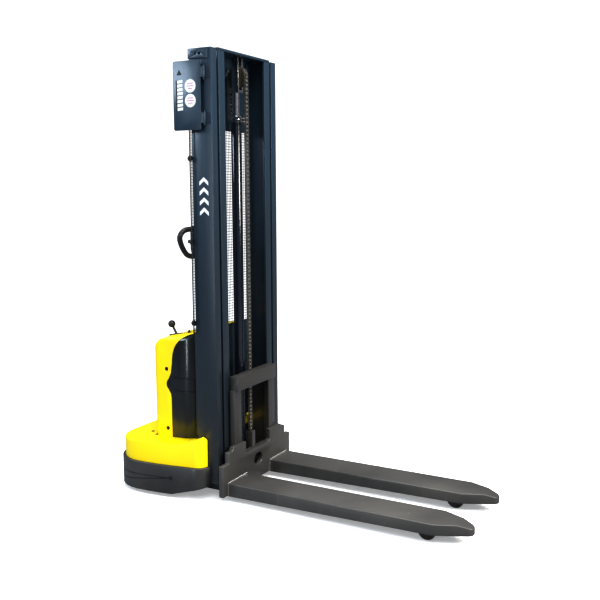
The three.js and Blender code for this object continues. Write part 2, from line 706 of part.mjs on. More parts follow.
// ---------------------------------------------------------------- straddle legs and load rollers
const legEnd = FORK_LENGTH - LEG_END_SETBACK;
const loadRollerX = FORK_LENGTH - LOAD_ROLLER_SETBACK;
const legRear = mastRear - 8;
onBothSides((side, s) => {
  const centre = s * FORK_CENTRE;
  const rollerSlot = [loadRollerX - LOAD_ROLLER_RADIUS - 6, legEnd + 1];
  const slotHalf = LOAD_ROLLER_WIDTH / 2 + 2;
  const beamBody = box([legRear, legEnd], [centre - legHalf, centre + legHalf], [LEG_BOTTOM, legTop]);
  const slot = box(rollerSlot, [centre - slotHalf, centre + slotHalf], [LEG_BOTTOM - 1, legTop + 1]);
  const axleZ = LOAD_ROLLER_RADIUS;
  const axleAt = [loadRollerX, axleZ];
  const eye = (k) =>
    bar("y", axleAt, LOAD_EYE_RADIUS, [centre + k * slotHalf, centre + k * (legHalf - 1)]);
  const axle = bar("y", axleAt, LOAD_AXLE_RADIUS, [centre - legHalf + 2, centre + legHalf - 2]);
  add(`straddle_leg_${side}`, mastPaint, union(beamBody.subtract(slot), eye(1), eye(-1), axle));
  const width = [centre - LOAD_ROLLER_WIDTH / 2, centre + LOAD_ROLLER_WIDTH / 2];
  add(
    `load_roller_${side}`,
    polyurethane,
    ring("y", axleAt, LOAD_ROLLER_RADIUS, LOAD_AXLE_RADIUS, width),
  );
});

// ---------------------------------------------------------------- mast and carriage rollers
function railRoller(name, y, z) {
  const width = [y - ROLLER_WIDTH / 2, y + ROLLER_WIDTH / 2];
  add(name, steel, ring("y", [railMiddle, z], rollerRadius, ROLLER_STUB_RADIUS, width));
}
onBothSides((side, s) => {
  railRoller(`outer_roller_${side}`, s * topRollerY, topRollerZ);
  railRoller(`inner_roller_${side}`, s * bottomRollerY, bottomRollerZ);
  for (const [level, z] of Object.entries(carriageRollerZs)) {
    railRoller(`carriage_roller_${level}_${side}`, s * carriageRollerY, z);
  }
});

// ---------------------------------------------------------------- base: plan, frame, skirt and lower cover
// The base's plan, drawn in by an inset: round front corners, sides that swell, a wide round rear.
function basePlan(inset) {
  const front = -BASE_FRONT_SETBACK;
  const frontCentre = [front - BASE_FRONT_RADIUS, BASE_FRONT_HALF_WIDTH - BASE_FRONT_RADIUS];
  const rearCentre = [-BASE_REAR + BASE_REAR_RADIUS, BASE_HALF_WIDTH - BASE_REAR_RADIUS];
  const swell = BASE_HALF_WIDTH - BASE_FRONT_HALF_WIDTH;
  const side = [1, 2, 3, 4].map((i) => {
    const t = i / 5;
    const x = frontCentre[0] + (rearCentre[0] - frontCentre[0]) * t;
    return [x, BASE_FRONT_HALF_WIDTH + swell * Math.sin((t * Math.PI) / 2) - inset];
  });
  const half = [
    ...arc(...frontCentre, BASE_FRONT_RADIUS - inset, 0, 90, 6),
    ...side,
    ...arc(...rearCentre, BASE_REAR_RADIUS - inset, 90, 180, 8),
  ];
  return [...half, ...half.map(([x, y]) => [x, -y]).reverse()];
}
const mastClearOuter = outerFace + MAST_SIDE_CLEARANCE;
const mastSpace = (low, high) => box([mastRear - 9, 0], [-mastClearOuter, mastClearOuter], [low, high]);

const frontWedge = prism(
  "y",
  [
    [-BASE_FRONT_SETBACK - 170, SKIRT_BOTTOM - 1],
    [-BASE_FRONT_SETBACK - 170, SKIRT_BOTTOM],
    [-BASE_FRONT_SETBACK + 1, SKIRT_BOTTOM + SKIRT_FRONT_RISE],
    [-BASE_FRONT_SETBACK + 1, SKIRT_BOTTOM - 1],
  ],
  [-BASE_HALF_WIDTH, BASE_HALF_WIDTH],
);
add(
  "bumper_skirt",
  charcoal,
  cut(
    prism("z", basePlan(0), [SKIRT_BOTTOM, SKIRT_TOP]),
    prism("z", basePlan(SKIRT_WALL), [SKIRT_BOTTOM - 1, SKIRT_TOP - SKIRT_WALL]),
    prism("z", basePlan(SKIRT_LIP), [SKIRT_BOTTOM - 1, SKIRT_TOP + 1]),
    mastSpace(SKIRT_BOTTOM - 1, SKIRT_TOP + 1),
    frontWedge,
  ),
);

// The pillar's plan and its side view, drawn in by an inset.
const pillarFront = mastRear - PILLAR_SETBACK;
const pillarRear = pillarFront - PILLAR_DEPTH;
const pillarTopAt = (x) => PILLAR_FRONT_TOP + (x - pillarFront) * PILLAR_SLOPE;
function pillarPlan(inset) {
  const frontAt = [pillarFront - PILLAR_FRONT_RADIUS, PILLAR_HALF_WIDTH - PILLAR_FRONT_RADIUS];
  const rearAt = [pillarRear + PILLAR_REAR_RADIUS, PILLAR_HALF_WIDTH - PILLAR_REAR_RADIUS];
  const half = [
    ...arc(...frontAt, PILLAR_FRONT_RADIUS - inset, 0, 90, 8),
    ...arc(...rearAt, PILLAR_REAR_RADIUS - inset, 90, 180, 6),
  ];
  return [...half, ...half.map(([x, y]) => [x, -y]).reverse()];
}
function pillarSide(inset, bottom) {
  const crownX = pillarRear + PILLAR_CROWN_RADIUS;
  const slope = Math.atan(PILLAR_SLOPE);
  const crownAt = [crownX, pillarTopAt(crownX) - PILLAR_CROWN_RADIUS / Math.cos(slope)];
  const crownFrom = 90 + (slope * 180) / Math.PI;
  return [
    [pillarFront - inset, bottom],
    [pillarFront - inset, pillarTopAt(pillarFront) - inset],
    ...arc(...crownAt, PILLAR_CROWN_RADIUS - inset, crownFrom, 180, 8),
    [pillarRear + inset, bottom],
  ];
}
function pillarFace(inset, bottom) {
  const top = PILLAR_FRONT_TOP - inset;
  const radius = PILLAR_TOP_RADIUS - inset;
  const half = PILLAR_HALF_WIDTH - inset;
  return [
    [half, bottom],
    ...arc(half - radius, top - radius - PILLAR_SLOPE * 120, radius, 0, 40, 3),
    [half - 2 * radius, top + 30],
    [-half + 2 * radius, top + 30],
    ...arc(-half + radius, top - radius - PILLAR_SLOPE * 120, radius, 140, 180, 3),
    [-half, bottom],
  ];
}
function pillarBody(inset, bottom) {
  const along = [pillarRear - 1, pillarFront + 1];
  return prism("z", pillarPlan(inset), [bottom, PILLAR_FRONT_TOP + 40])
    .intersect(prism("y", pillarSide(inset, bottom), [-PILLAR_HALF_WIDTH - 1, PILLAR_HALF_WIDTH + 1]))
    .intersect(prism("x", pillarFace(inset, bottom), along));
}

// Lower cover: a shell over the plan, its top rising to a shoulder at each side of the mast.
const coverBottom = SKIRT_TOP + GAP;
function coverSide(inset) {
  const front = -BASE_FRONT_SETBACK;
  return [
    [-BASE_REAR, coverBottom - inset],
    [-BASE_REAR, COVER_REAR_TOP - inset],
    [mastRear - 55, COVER_SIDE_TOP - inset],
    [mastRear - 22, COVER_SIDE_TOP + 14 - inset],
    [mastRear + 14, COVER_HORN_TOP - 10 - inset],
    [mastRear + 36, COVER_HORN_TOP - inset],
    [front - 34, COVER_HORN_TOP - inset],
    [front - 12, COVER_HORN_TOP - 14 - inset],
    [front, COVER_HORN_TOP - 34 - inset],
    [front, coverBottom - inset],
  ];
}
const coverBody = (inset) =>
  prism("z", basePlan(COVER_INSET + inset), [coverBottom - inset, COVER_HORN_TOP + 1]).intersect(
    prism("y", coverSide(inset), [-BASE_HALF_WIDTH, BASE_HALF_WIDTH]),
  );
const pillarHole = prism("z", pillarPlan(-PILLAR_CLEARANCE), [coverBottom + 5, COVER_HORN_TOP + 1]);
const coverMastSide = box(
  [pillarFront - 2, -BASE_FRONT_SETBACK - COVER_INSET],
  [-mastClearOuter - COVER_WALL, mastClearOuter + COVER_WALL],
  [coverBottom, COVER_HORN_TOP],
).intersect(coverBody(0));
const coverMastSpace = mastSpace(coverBottom - 5, COVER_HORN_TOP + 1);
const coverShell = union(cut(coverBody(0), coverBody(COVER_WALL)), coverMastSide);
add("lower_cover", yellow, cut(coverShell, pillarHole, coverMastSpace));

// Frame: a deck with a tunnel for the drive wheel, a bridge over it and a bulkhead behind the mast.
const steerX = pillarFront - DRIVE_WHEEL_SETBACK - DRIVE_WHEEL_RADIUS;
const steerAt = [steerX, 0];
const bridgeTop = 2 * DRIVE_WHEEL_RADIUS + BRIDGE_CLEARANCE;
const tunnelRear = steerX - DRIVE_WHEEL_RADIUS - TUNNEL_REAR_CLEARANCE;
const leverX = pillarFront - LEVER_SETBACK;
const keyX = pillarFront - KEY_SETBACK;
const bulkheadFront = mastRear - GAP;
const deckTop = DECK_BOTTOM + DECK_THICKNESS;
const bridgeFront = pillarFront - PILLAR_WALL - 8;
const bridgeRear = pillarRear + PILLAR_WALL + 8;
const tunnelHalf = BRIDGE_TUNNEL_HALF_WIDTH;
const bridgePosts = (s) =>
  box(
    [bridgeRear, bridgeFront],
    [s * tunnelHalf, s * (tunnelHalf + BRIDGE_WALL)],
    [deckTop - 1, bridgeTop],
  );
const deck = cut(
  prism("z", basePlan(DECK_INSET), [DECK_BOTTOM, deckTop]),
  box([bulkheadFront, 0], [-BASE_HALF_WIDTH, BASE_HALF_WIDTH], [DECK_BOTTOM - 1, deckTop + 1]),
  box([tunnelRear, bridgeFront + 4], [-tunnelHalf, tunnelHalf], [DECK_BOTTOM - 1, deckTop + 1]),
);
const bridgePlate = cut(
  prism("z", pillarPlan(PILLAR_WALL + 8), [bridgeTop - 8, bridgeTop]),
  bore("z", steerAt, SPINDLE_RADIUS, [bridgeTop - 9, bridgeTop + 1], LARGE_ROUND),
);
add(
  "chassis_frame",
  satinBlack,
  union(
    deck,
    bridgePosts(1),
    bridgePosts(-1),
    bridgePlate,
    box([bulkheadFront - 8, bulkheadFront], [-outerFace, outerFace], [legTop + GAP, bridgeTop - 20]),
  ),
);

// ---------------------------------------------------------------- pillar covers
// The line between the covers in the side view: upright, round a bulge, then forward along the top.
const seamX = pillarFront - SEAM_SETBACK;
const bulgeZ = BULGE_HEIGHT;
const seam = [
  [pillarFront + 2, PILLAR_BOTTOM - 2],
  [seamX, PILLAR_BOTTOM - 2],
  [seamX, bulgeZ - 66],
  [seamX - 3, bulgeZ - 46],
  ...arc(seamX + 4, bulgeZ, 32, 230, 130, 8),
  [seamX - 1, bulgeZ + 56],
  [seamX + 6, bulgeZ + 100],
  ...arc(pillarFront - 10, pillarTopAt(pillarFront) - 146, 138, 176, 96, 8),
  [pillarFront + 2, pillarTopAt(pillarFront) - 8],
];
const pillarShell = cut(pillarBody(0, PILLAR_BOTTOM), pillarBody(PILLAR_WALL, PILLAR_BOTTOM - 1));
const across = [-PILLAR_HALF_WIDTH - 2, PILLAR_HALF_WIDTH + 2];
const frontRegion = prism("y", seam, across);
const seamGap = prism("y", seam.map(([x, z]) => [x - GAP, z + GAP]), across);
const rodSlot = prism(
  "z",
  [
    ...arc(leverX + 12, LEVER_Y, LEVER_ROD_RADIUS + LEVER_SLOT_PLAY, -90, 90, 6),
    ...arc(leverX - 28, LEVER_Y, LEVER_ROD_RADIUS + LEVER_SLOT_PLAY, 90, 270, 6),
  ],
  [LEVER_PIVOT_Z - 30, PILLAR_FRONT_TOP],
);
const topHoleHeights = [LEVER_PIVOT_Z - 30, PILLAR_FRONT_TOP];
const keyHole = bore("z", [keyX, KEY_Y], KEY_RADIUS, topHoleHeights);
const columnHole = bar("z", steerAt, COLUMN_RADIUS + 6, topHoleHeights, LARGE_ROUND);
add("pillar_cover", yellow, cut(pillarShell, union(frontRegion, seamGap), rodSlot, keyHole, columnHole));
add("pillar_front_cover", glossBlack, cut(pillarShell.intersect(frontRegion), keyHole, columnHole));

// ---------------------------------------------------------------- drive unit
const wheelZ = DRIVE_WHEEL_RADIUS;
const wheelAt = [steerX, wheelZ];
const wheelHalf = DRIVE_WHEEL_WIDTH / 2;
const yokeInner = wheelHalf + YOKE_CLEARANCE;
const yokeOuter = yokeInner + YOKE_THICKNESS;
const yokeTop = bridgeTop - 8 - 2;
const yokeCheek = (s) =>
  union(
    box([steerX - 34, steerX + 34], [s * yokeInner, s * yokeOuter], [wheelZ, yokeTop - 1]),
    bar("y", wheelAt, 34, [s * yokeInner, s * yokeOuter], LARGE_ROUND),
  );
const turntableTop = bridgeTop + GAP + 12;
add(
  "drive_yoke",
  satinBlack,
  union(
    yokeCheek(1),
    yokeCheek(-1),
    bar("z", steerAt, SPINDLE_RADIUS + 4, [2 * DRIVE_WHEEL_RADIUS + 6, yokeTop], LARGE_ROUND),
    bar("z", steerAt, SPINDLE_RADIUS, [yokeTop - 1, turntableTop - 1], LARGE_ROUND),
    bar("z", steerAt, TURNTABLE_RADIUS, [bridgeTop + GAP, turntableTop], LARGE_ROUND),
    bar("y", wheelAt, DRIVE_AXLE_RADIUS, [-yokeOuter, yokeOuter]),
  ),
);
add(
  "drive_hub",
  steel,
  ring("y", wheelAt, DRIVE_HUB_RADIUS, DRIVE_AXLE_RADIUS, [-wheelHalf + 4, wheelHalf - 4]),
);
add(
  "drive_tyre",
  rubber,
  cut(
    bar("y", wheelAt, DRIVE_WHEEL_RADIUS, [-wheelHalf, wheelHalf], 40),
    bore("y", wheelAt, DRIVE_HUB_RADIUS, [-wheelHalf - 1, wheelHalf + 1], LARGE_ROUND),
  ),
);
const motorTop = turntableTop + GAP + MOTOR_HEIGHT;
add("drive_motor", satinBlack, bar("z", steerAt, MOTOR_RADIUS, [turntableTop + GAP, motorTop], LARGE_ROUND));

// The column stands on the motor and ends above the pillar in a boss with the tiller's clevis.
const bossBottom = pillarTopAt(steerX + BOSS_RADIUS) + 3;
const bossTop = bossBottom + BOSS_HEIGHT;
const pivotAt = [steerX, TILLER_PIVOT_Z];
const clevisInner = TILLER_EYE_HALF_WIDTH + 1;
const clevisOuter = clevisInner + CLEVIS_THICKNESS;
const earHalf = TILLER_EYE_RADIUS;
const ear = (s) =>
  union(
    box(
      [steerX - earHalf, steerX + earHalf],
      [s * clevisInner, s * clevisOuter],
      [bossTop - 1, TILLER_PIVOT_Z],
    ),
    bar("y", pivotAt, earHalf, [s * clevisInner, s * clevisOuter]),
  );
const pinBore = bore("y", pivotAt, TILLER_PIN_RADIUS, [-clevisOuter - 5, clevisOuter + 5]);
add(
  "steering_column",
  satinBlack,
  cut(
    union(
      bar("z", steerAt, COLUMN_RADIUS, [motorTop + GAP, bossTop - 1], LARGE_ROUND),
      bar("z", steerAt, BOSS_RADIUS, [bossBottom, bossTop], LARGE_ROUND),
      ear(1),
      ear(-1),
    ),
    pinBore,
  ),
);
add("tiller_pin", steel, bar("y", pivotAt, TILLER_PIN_RADIUS, [-clevisOuter - 3, clevisOuter + 3]));

// ---------------------------------------------------------------- tiller
const headX = steerX - TILLER_LEAN;
const armSide = [
  [steerX - 19, TILLER_PIVOT_Z],
  [headX - 17, TILLER_PIVOT_Z + 60],
  [headX - 15, HEAD_BOTTOM - GAP],
  [headX + 15, HEAD_BOTTOM - GAP],
  [headX + 17, TILLER_PIVOT_Z + 60],
  [steerX + 19, TILLER_PIVOT_Z],
];
add(
  "tiller_arm",
  satinBlack,
  cut(
    union(
      bar("y", pivotAt, TILLER_EYE_RADIUS, [-TILLER_EYE_HALF_WIDTH, TILLER_EYE_HALF_WIDTH]),
      prism("y", armSide, [-TILLER_EYE_HALF_WIDTH, TILLER_EYE_HALF_WIDTH]),
      prism(
        "y",
        [
          [headX - 17, TILLER_PIVOT_Z + 60],
          [headX - 15, HEAD_BOTTOM - GAP],
          [headX + 15, HEAD_BOTTOM - GAP],
          [headX + 17, TILLER_PIVOT_Z + 60],
        ],
        [-24, 24],
      ),
    ),
    pinBore,
  ),
);

// Head: a rounded pod that holds the button, the throttle's shaft and both grips' ends.
const podFace = [
  ...arc(HEAD_HALF_WIDTH - 16, HEAD_TOP - 16, 16, 0, 90, 5),
  ...arc(-HEAD_HALF_WIDTH + 16, HEAD_TOP - 16, 16, 90, 180, 5),
  ...arc(-HEAD_HALF_WIDTH + 22, HEAD_BOTTOM + 22, 22, 180, 270, 5),
  ...arc(HEAD_HALF_WIDTH - 22, HEAD_BOTTOM + 22, 22, 270, 360, 5),
];
const podSide = [
  ...arc(headX + HEAD_DEPTH / 2 - 14, HEAD_TOP - 14, 14, 0, 90, 5),
  ...arc(headX - HEAD_DEPTH / 2 + 14, HEAD_TOP - 14, 14, 90, 180, 5),
  [headX - HEAD_DEPTH / 2, HEAD_BOTTOM + 50],
  [headX - 20, HEAD_BOTTOM],
  [headX + 20, HEAD_BOTTOM],
  [headX + HEAD_DEPTH / 2, HEAD_BOTTOM + 50],
];
const throttleAt = [headX, THROTTLE_Z];
add(
  "tiller_head",
  satinBlack,
  cut(
    prism("x", podFace, [headX - HEAD_DEPTH / 2, headX + HEAD_DEPTH / 2]).intersect(
      prism("y", podSide, [-HEAD_HALF_WIDTH, HEAD_HALF_WIDTH]),
    ),
    bar("z", [headX, 0], BUTTON_RADIUS + 0.5, [HEAD_TOP - 12 - BUTTON_TRAVEL, HEAD_TOP + 1], LARGE_ROUND),
    bore("y", throttleAt, THROTTLE_RADIUS, [-HEAD_HALF_WIDTH - 1, HEAD_HALF_WIDTH + 1]),
  ),
);
onBothSides((side, s) => {
  const route = [
    [HEAD_HALF_WIDTH + GAP, HEAD_TOP - 20],
    [GRIP_REACH - 76, HEAD_TOP - 15],
    [GRIP_REACH - 26, HEAD_TOP - 24],
    [GRIP_REACH, HEAD_TOP - 50],
    [GRIP_REACH - 9, HEAD_TOP - 84],
    [GRIP_REACH - 50, HEAD_BOTTOM + 32],
    [GRIP_REACH - 86, HEAD_BOTTOM + 19],
    [HEAD_HALF_WIDTH - 12, HEAD_BOTTOM + 19],
  ];
  const tube = tubeAlong(route.map(([y, z]) => [headX, s * y, z]), GRIP_RADIUS, 5, 24);
  const podSpace = box(
    [headX - HEAD_DEPTH, headX + HEAD_DEPTH],
    [-HEAD_HALF_WIDTH - GAP, HEAD_HALF_WIDTH + GAP],
    [HEAD_BOTTOM - 10, HEAD_TOP + 10],
  );
  add(`tiller_grip_${side}`, satinBlack, cut(tube, podSpace));
});
const buttonBottom = HEAD_TOP - 10;
add("belly_button", red, bar("z", [headX, 0], BUTTON_RADIUS, [buttonBottom, HEAD_TOP + 12], LARGE_ROUND));
const wingEnd = HEAD_HALF_WIDTH + 30;
const wing = (s) =>
  union(
    box(
      [headX - 27, headX + 27],
      [s * (HEAD_HALF_WIDTH + 4), s * wingEnd],
      [THROTTLE_Z - 8, THROTTLE_Z + 8],
    ),
    bar("y", throttleAt, 13, [s * (HEAD_HALF_WIDTH + 1), s * wingEnd]),
  );
const throttleShaft = bar("y", throttleAt, THROTTLE_RADIUS, [-HEAD_HALF_WIDTH - 5, HEAD_HALF_WIDTH + 5]);
add(
  "throttle",
  satinBlack,
  union(throttleShaft, wing(1), wing(-1)),
);

// ---------------------------------------------------------------- lever and key
const leverTop = [leverX - LEVER_REACH, LEVER_PIVOT_Z + LEVER_RISE];
const leverLean = Math.atan2(LEVER_REACH, LEVER_RISE);
const leverLength = Math.hypot(LEVER_REACH, LEVER_RISE) - KNOB_RADIUS - GAP;
const rodRadius = LEVER_ROD_RADIUS;
const leverRod = new THREE.CylinderGeometry(rodRadius, rodRadius, leverLength, SMALL_ROUND)
  .translate(0, leverLength / 2, 0)
  .rotateX(Math.PI / 2)
  .rotateY(-leverLean)
  .translate(leverX, LEVER_Y, LEVER_PIVOT_Z);
add(
  "lift_lever",
  steel,
  union(solid(leverRod), bar("y", [leverX, LEVER_PIVOT_Z], 8, [LEVER_Y - 8, LEVER_Y + 8])),
);
add(
  "lever_knob",
  satinBlack,
  solid(new THREE.SphereGeometry(KNOB_RADIUS, SMALL_ROUND, 10).translate(leverTop[0], LEVER_Y, leverTop[1])),
);
const keyTop = pillarTopAt(keyX) + KEY_STAND;
add(
  "key_switch",
  satinBlack,
  union(
    bar("z", [keyX, KEY_Y], KEY_RADIUS, [keyTop - 30, keyTop]),
    box([keyX - 1.5, keyX + 1.5], [KEY_Y - 7, KEY_Y + 7], [keyTop - 1, keyTop + KEY_BOW]),
  ),
);

// ---------------------------------------------------------------- battery and hydraulic unit
const bayInner = Math.max(TURNTABLE_RADIUS, MOTOR_RADIUS) + 6;
const bayOuter = PILLAR_HALF_WIDTH - PILLAR_WALL - 14;
const cornerReach = Math.sqrt(
  (PILLAR_FRONT_RADIUS - PILLAR_WALL) ** 2 - (bayOuter - PILLAR_HALF_WIDTH + PILLAR_FRONT_RADIUS) ** 2,
);
const bayX = [pillarFront - PILLAR_FRONT_RADIUS + cornerReach - 4, pillarRear + PILLAR_WALL + 24];
add("battery_pack", charcoal, box(bayX, [bayInner, bayOuter], [bridgeTop + GAP, bridgeTop + 296]));
const bayMiddle = (bayInner + bayOuter) / 2;
add(
  "hydraulic_unit",
  steel,
  union(
    box(bayX, [-bayInner, -bayOuter], [bridgeTop + GAP, bridgeTop + 150]),
    bar("z", [(bayX[0] + bayX[1]) / 2, -bayMiddle], 56, [bridgeTop + 149, bridgeTop + 320], LARGE_ROUND),
  ),
);

// ---------------------------------------------------------------- casters
onBothSides((side, s) => {
  const swivel = [-CASTER_SETBACK, s * CASTER_Y];
  const axleAt = [-CASTER_SETBACK - CASTER_TRAIL, CASTER_WHEEL_RADIUS];
  const y0 = s * CASTER_Y;
  const inner = CASTER_WHEEL_WIDTH / 2 + 3;
  const outer = inner + 4;
  const crown = 2 * CASTER_WHEEL_RADIUS + 6;
  const cheekPlate = (k) =>
    prism(
      "y",
      [
        [axleAt[0] - 14, CASTER_WHEEL_RADIUS],
        [axleAt[0] - 6, CASTER_WHEEL_RADIUS - 13],
        [axleAt[0] + 6, CASTER_WHEEL_RADIUS - 13],
        [axleAt[0] + 14, CASTER_WHEEL_RADIUS],
        [swivel[0] + 26, crown + 8],
        [swivel[0] - 26, crown + 8],
      ],
      [y0 + k * inner, y0 + k * outer],
    );
  add(
    `caster_fork_${side}`,
    steel,
    union(
      box([swivel[0] - 26, swivel[0] + 26], [y0 - outer, y0 + outer], [crown, crown + 8]),
      cheekPlate(1),
      cheekPlate(-1),
      bar("z", swivel, 24, [crown + 7, DECK_BOTTOM - GAP], LARGE_ROUND),
      bar("y", axleAt, CASTER_AXLE_RADIUS, [y0 - outer - 3, y0 + outer + 3]),
    ),
  );
  add(
    `caster_wheel_${side}`,
    polyurethane,
    ring("y", axleAt, CASTER_WHEEL_RADIUS, CASTER_AXLE_RADIUS, [
      y0 - CASTER_WHEEL_WIDTH / 2,
      y0 + CASTER_WHEEL_WIDTH / 2,
    ]),
  );
});

truck.position.x = (BASE_REAR - FORK_LENGTH) / 2;
const walkieStacker = new THREE.Group();
walkieStacker.add(truck);

export default walkieStacker;
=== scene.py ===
import json
from math import cos, pi, radians, sin

import bmesh
import bpy
from mathutils import Matrix, Vector


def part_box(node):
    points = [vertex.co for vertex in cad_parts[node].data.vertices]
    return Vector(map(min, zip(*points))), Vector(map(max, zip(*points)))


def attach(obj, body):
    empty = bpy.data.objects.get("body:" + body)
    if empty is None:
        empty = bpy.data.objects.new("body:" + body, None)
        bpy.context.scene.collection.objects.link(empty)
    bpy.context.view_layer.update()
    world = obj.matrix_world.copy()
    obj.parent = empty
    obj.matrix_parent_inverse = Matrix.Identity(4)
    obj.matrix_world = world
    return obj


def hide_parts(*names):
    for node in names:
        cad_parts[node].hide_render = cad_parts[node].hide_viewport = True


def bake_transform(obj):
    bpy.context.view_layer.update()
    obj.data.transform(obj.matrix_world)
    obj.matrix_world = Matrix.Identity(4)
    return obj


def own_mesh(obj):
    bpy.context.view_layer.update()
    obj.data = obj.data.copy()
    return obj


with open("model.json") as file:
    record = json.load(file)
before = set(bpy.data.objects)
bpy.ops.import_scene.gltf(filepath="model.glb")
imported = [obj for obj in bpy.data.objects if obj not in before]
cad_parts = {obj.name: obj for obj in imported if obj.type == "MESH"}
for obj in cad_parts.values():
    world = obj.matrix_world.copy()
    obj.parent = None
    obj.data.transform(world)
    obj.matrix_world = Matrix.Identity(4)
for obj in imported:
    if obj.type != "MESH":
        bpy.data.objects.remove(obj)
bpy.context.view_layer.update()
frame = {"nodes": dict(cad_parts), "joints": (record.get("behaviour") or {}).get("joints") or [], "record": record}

# ---- View and studio.
# The view is from the front right, a little above the mast's middle. The truck stands on a plain white
# floor that is dark to everything but the camera, so it throws little light up onto the paint.
eye = Vector((1.7637, -3.3018, 1.4551))
heading, dip, roll = radians(28.45), radians(7.91), radians(-0.24)

camera = bpy.data.cameras.new("view")
camera.lens = 48.6
view = bpy.data.objects.new("view", camera)
turn = Matrix.Rotation(heading, 4, "Z") @ Matrix.Rotation(pi / 2 - dip, 4, "X")
view.matrix_world = Matrix.Translation(eye) @ turn @ Matrix.Rotation(roll, 4, "Z")
bpy.context.scene.collection.objects.link(view)
bpy.context.scene.camera = view

display = bpy.context.scene.view_settings
display.view_transform = "Standard"
display.gamma = 0.75
display.exposure = 0.35
sky = bpy.data.worlds.new("studio")
sky.use_nodes = True
backdrop = sky.node_tree.nodes["Background"]
backdrop.inputs["Color"].default_value = (1, 1, 1, 1)
fill = sky.node_tree.nodes.new("ShaderNodeBackground")
fill.inputs["Color"].default_value = (0.86, 0.93, 1, 1)
fill.inputs["Strength"].default_value = 0.2
seen = sky.node_tree.nodes.new("ShaderNodeLightPath")
either = sky.node_tree.nodes.new("ShaderNodeMixShader")
sky.node_tree.links.new(seen.outputs["Is Camera Ray"], either.inputs["Fac"])
sky.node_tree.links.new(fill.outputs[0], either.inputs[1])
sky.node_tree.links.new(backdrop.outputs[0], either.inputs[2])
sky.node_tree.links.new(either.outputs[0], sky.node_tree.nodes["World Output"].inputs["Surface"])
bpy.context.scene.world = sky


def lamp(name, place, aim, size, power, colour=(1, 1, 1), tall=None):
    light = bpy.data.lights.new(name, "AREA")
    light.shape = "RECTANGLE" if tall else "DISK"
    light.size = size
    light.size_y = tall or size
    light.energy = power
    light.color = colour
    holder = bpy.data.objects.new(name, light)
    holder.location = place
    holder.rotation_euler = (Vector(aim) - Vector(place)).to_track_quat("-Z", "Y").to_euler()
    bpy.context.scene.collection.objects.link(holder)


lamp("front_lamp", (4.2, -0.2, 2.6), (0, 0, 0.7), 1.8, 190, (1, 0.94, 0.86))
lamp("side_lamp", (-3.6, -2.6, 3.2), (-0.4, 0, 1.4), 1.6, 80, (0.7, 0.85, 1))
lamp("top_lamp", (0.2, 0.6, 4.6), (0.1, 0, 0), 2.6, 150)
lamp("strip_lamp", (-0.9, -4.4, 1.5), (-0.3, 0, 1.2), 0.3, 60, (0.85, 0.93, 1), tall=3.0)

key = bpy.data.lights.new("key_lamp", "SUN")
key.energy = 2.6
key.angle = radians(50)
key_holder = bpy.data.objects.new("key_lamp", key)
key_holder.rotation_euler = Vector((-0.45, 0.35, -1)).to_track_quat("-Z", "Y").to_euler()
bpy.context.scene.collection.objects.link(key_holder)

floor_radius, floor_drop = 40, 0.0006
floor_mesh = bmesh.new()
bmesh.ops.create_circle(floor_mesh, cap_ends=True, segments=64, radius=floor_radius)
floor_data = bpy.data.meshes.new("floor")
floor_mesh.to_mesh(floor_data)
floor_mesh.free()
floor_paint = bpy.data.materials.new("floor_paint")
floor_paint.use_nodes = True
floor_shader = floor_paint.node_tree.nodes["Principled BSDF"]
floor_shader.inputs["Base Color"].default_value = (0.85, 0.86, 0.88, 1)
floor_shader.inputs["Roughness"].default_value = 0.75
floor_shader.inputs["Emission Color"].default_value = (1, 1, 1, 1)
floor_shader.inputs["Emission Strength"].default_value = 0.3
floor_dark = floor_paint.node_tree.nodes.new("ShaderNodeBsdfDiffuse")
floor_dark.inputs["Color"].default_value = (0.2, 0.21, 0.23, 1)
floor_seen = floor_paint.node_tree.nodes.new("ShaderNodeLightPath")
floor_either = floor_paint.node_tree.nodes.new("ShaderNodeMixShader")
floor_paint.node_tree.links.new(floor_seen.outputs["Is Camera Ray"], floor_either.inputs["Fac"])
floor_paint.node_tree.links.new(floor_dark.outputs[0], floor_either.inputs[1])
floor_paint.node_tree.links.new(floor_shader.outputs[0], floor_either.inputs[2])
floor_paint.node_tree.links.new(
    floor_either.outputs[0], floor_paint.node_tree.nodes["Material Output"].inputs["Surface"]
)
floor_data.materials.append(floor_paint)
floor = bpy.data.objects.new("floor", floor_data)
floor.location.z = -floor_drop
bpy.context.scene.collection.objects.link(floor)


# ---- Mast: rolled channels and welded cross-members.
# Two fixed outer channels with two sliding inner ones between them, in blue-black powder coat with a painted cool
# reflection that makes it bluer towards the top and leaves it greener and duller towards the floor. The mill's
# edges are rounded.
class Wire:
    """A node's output. Sums on it add Math nodes."""

    def __init__(self, finish, socket):
        self.finish = finish
        self.socket = socket

    def sum(self, operation, first, second):
        return self.finish.node("Math", {"operation": operation}, {0: first, 1: second})

    def __add__(self, other):
        return self.sum("ADD", self, other)

    def __mul__(self, other):
        return self.sum("MULTIPLY", self, other)

    def __sub__(self, other):
        return self.sum("SUBTRACT", self, other)

    def __rsub__(self, other):
        return self.sum("SUBTRACT", other, self)

    __radd__ = __add__
    __rmul__ = __mul__

    def held(self):
        """The value kept between 0 and 1."""
        return self.finish.node("Clamp", {}, {0: self})


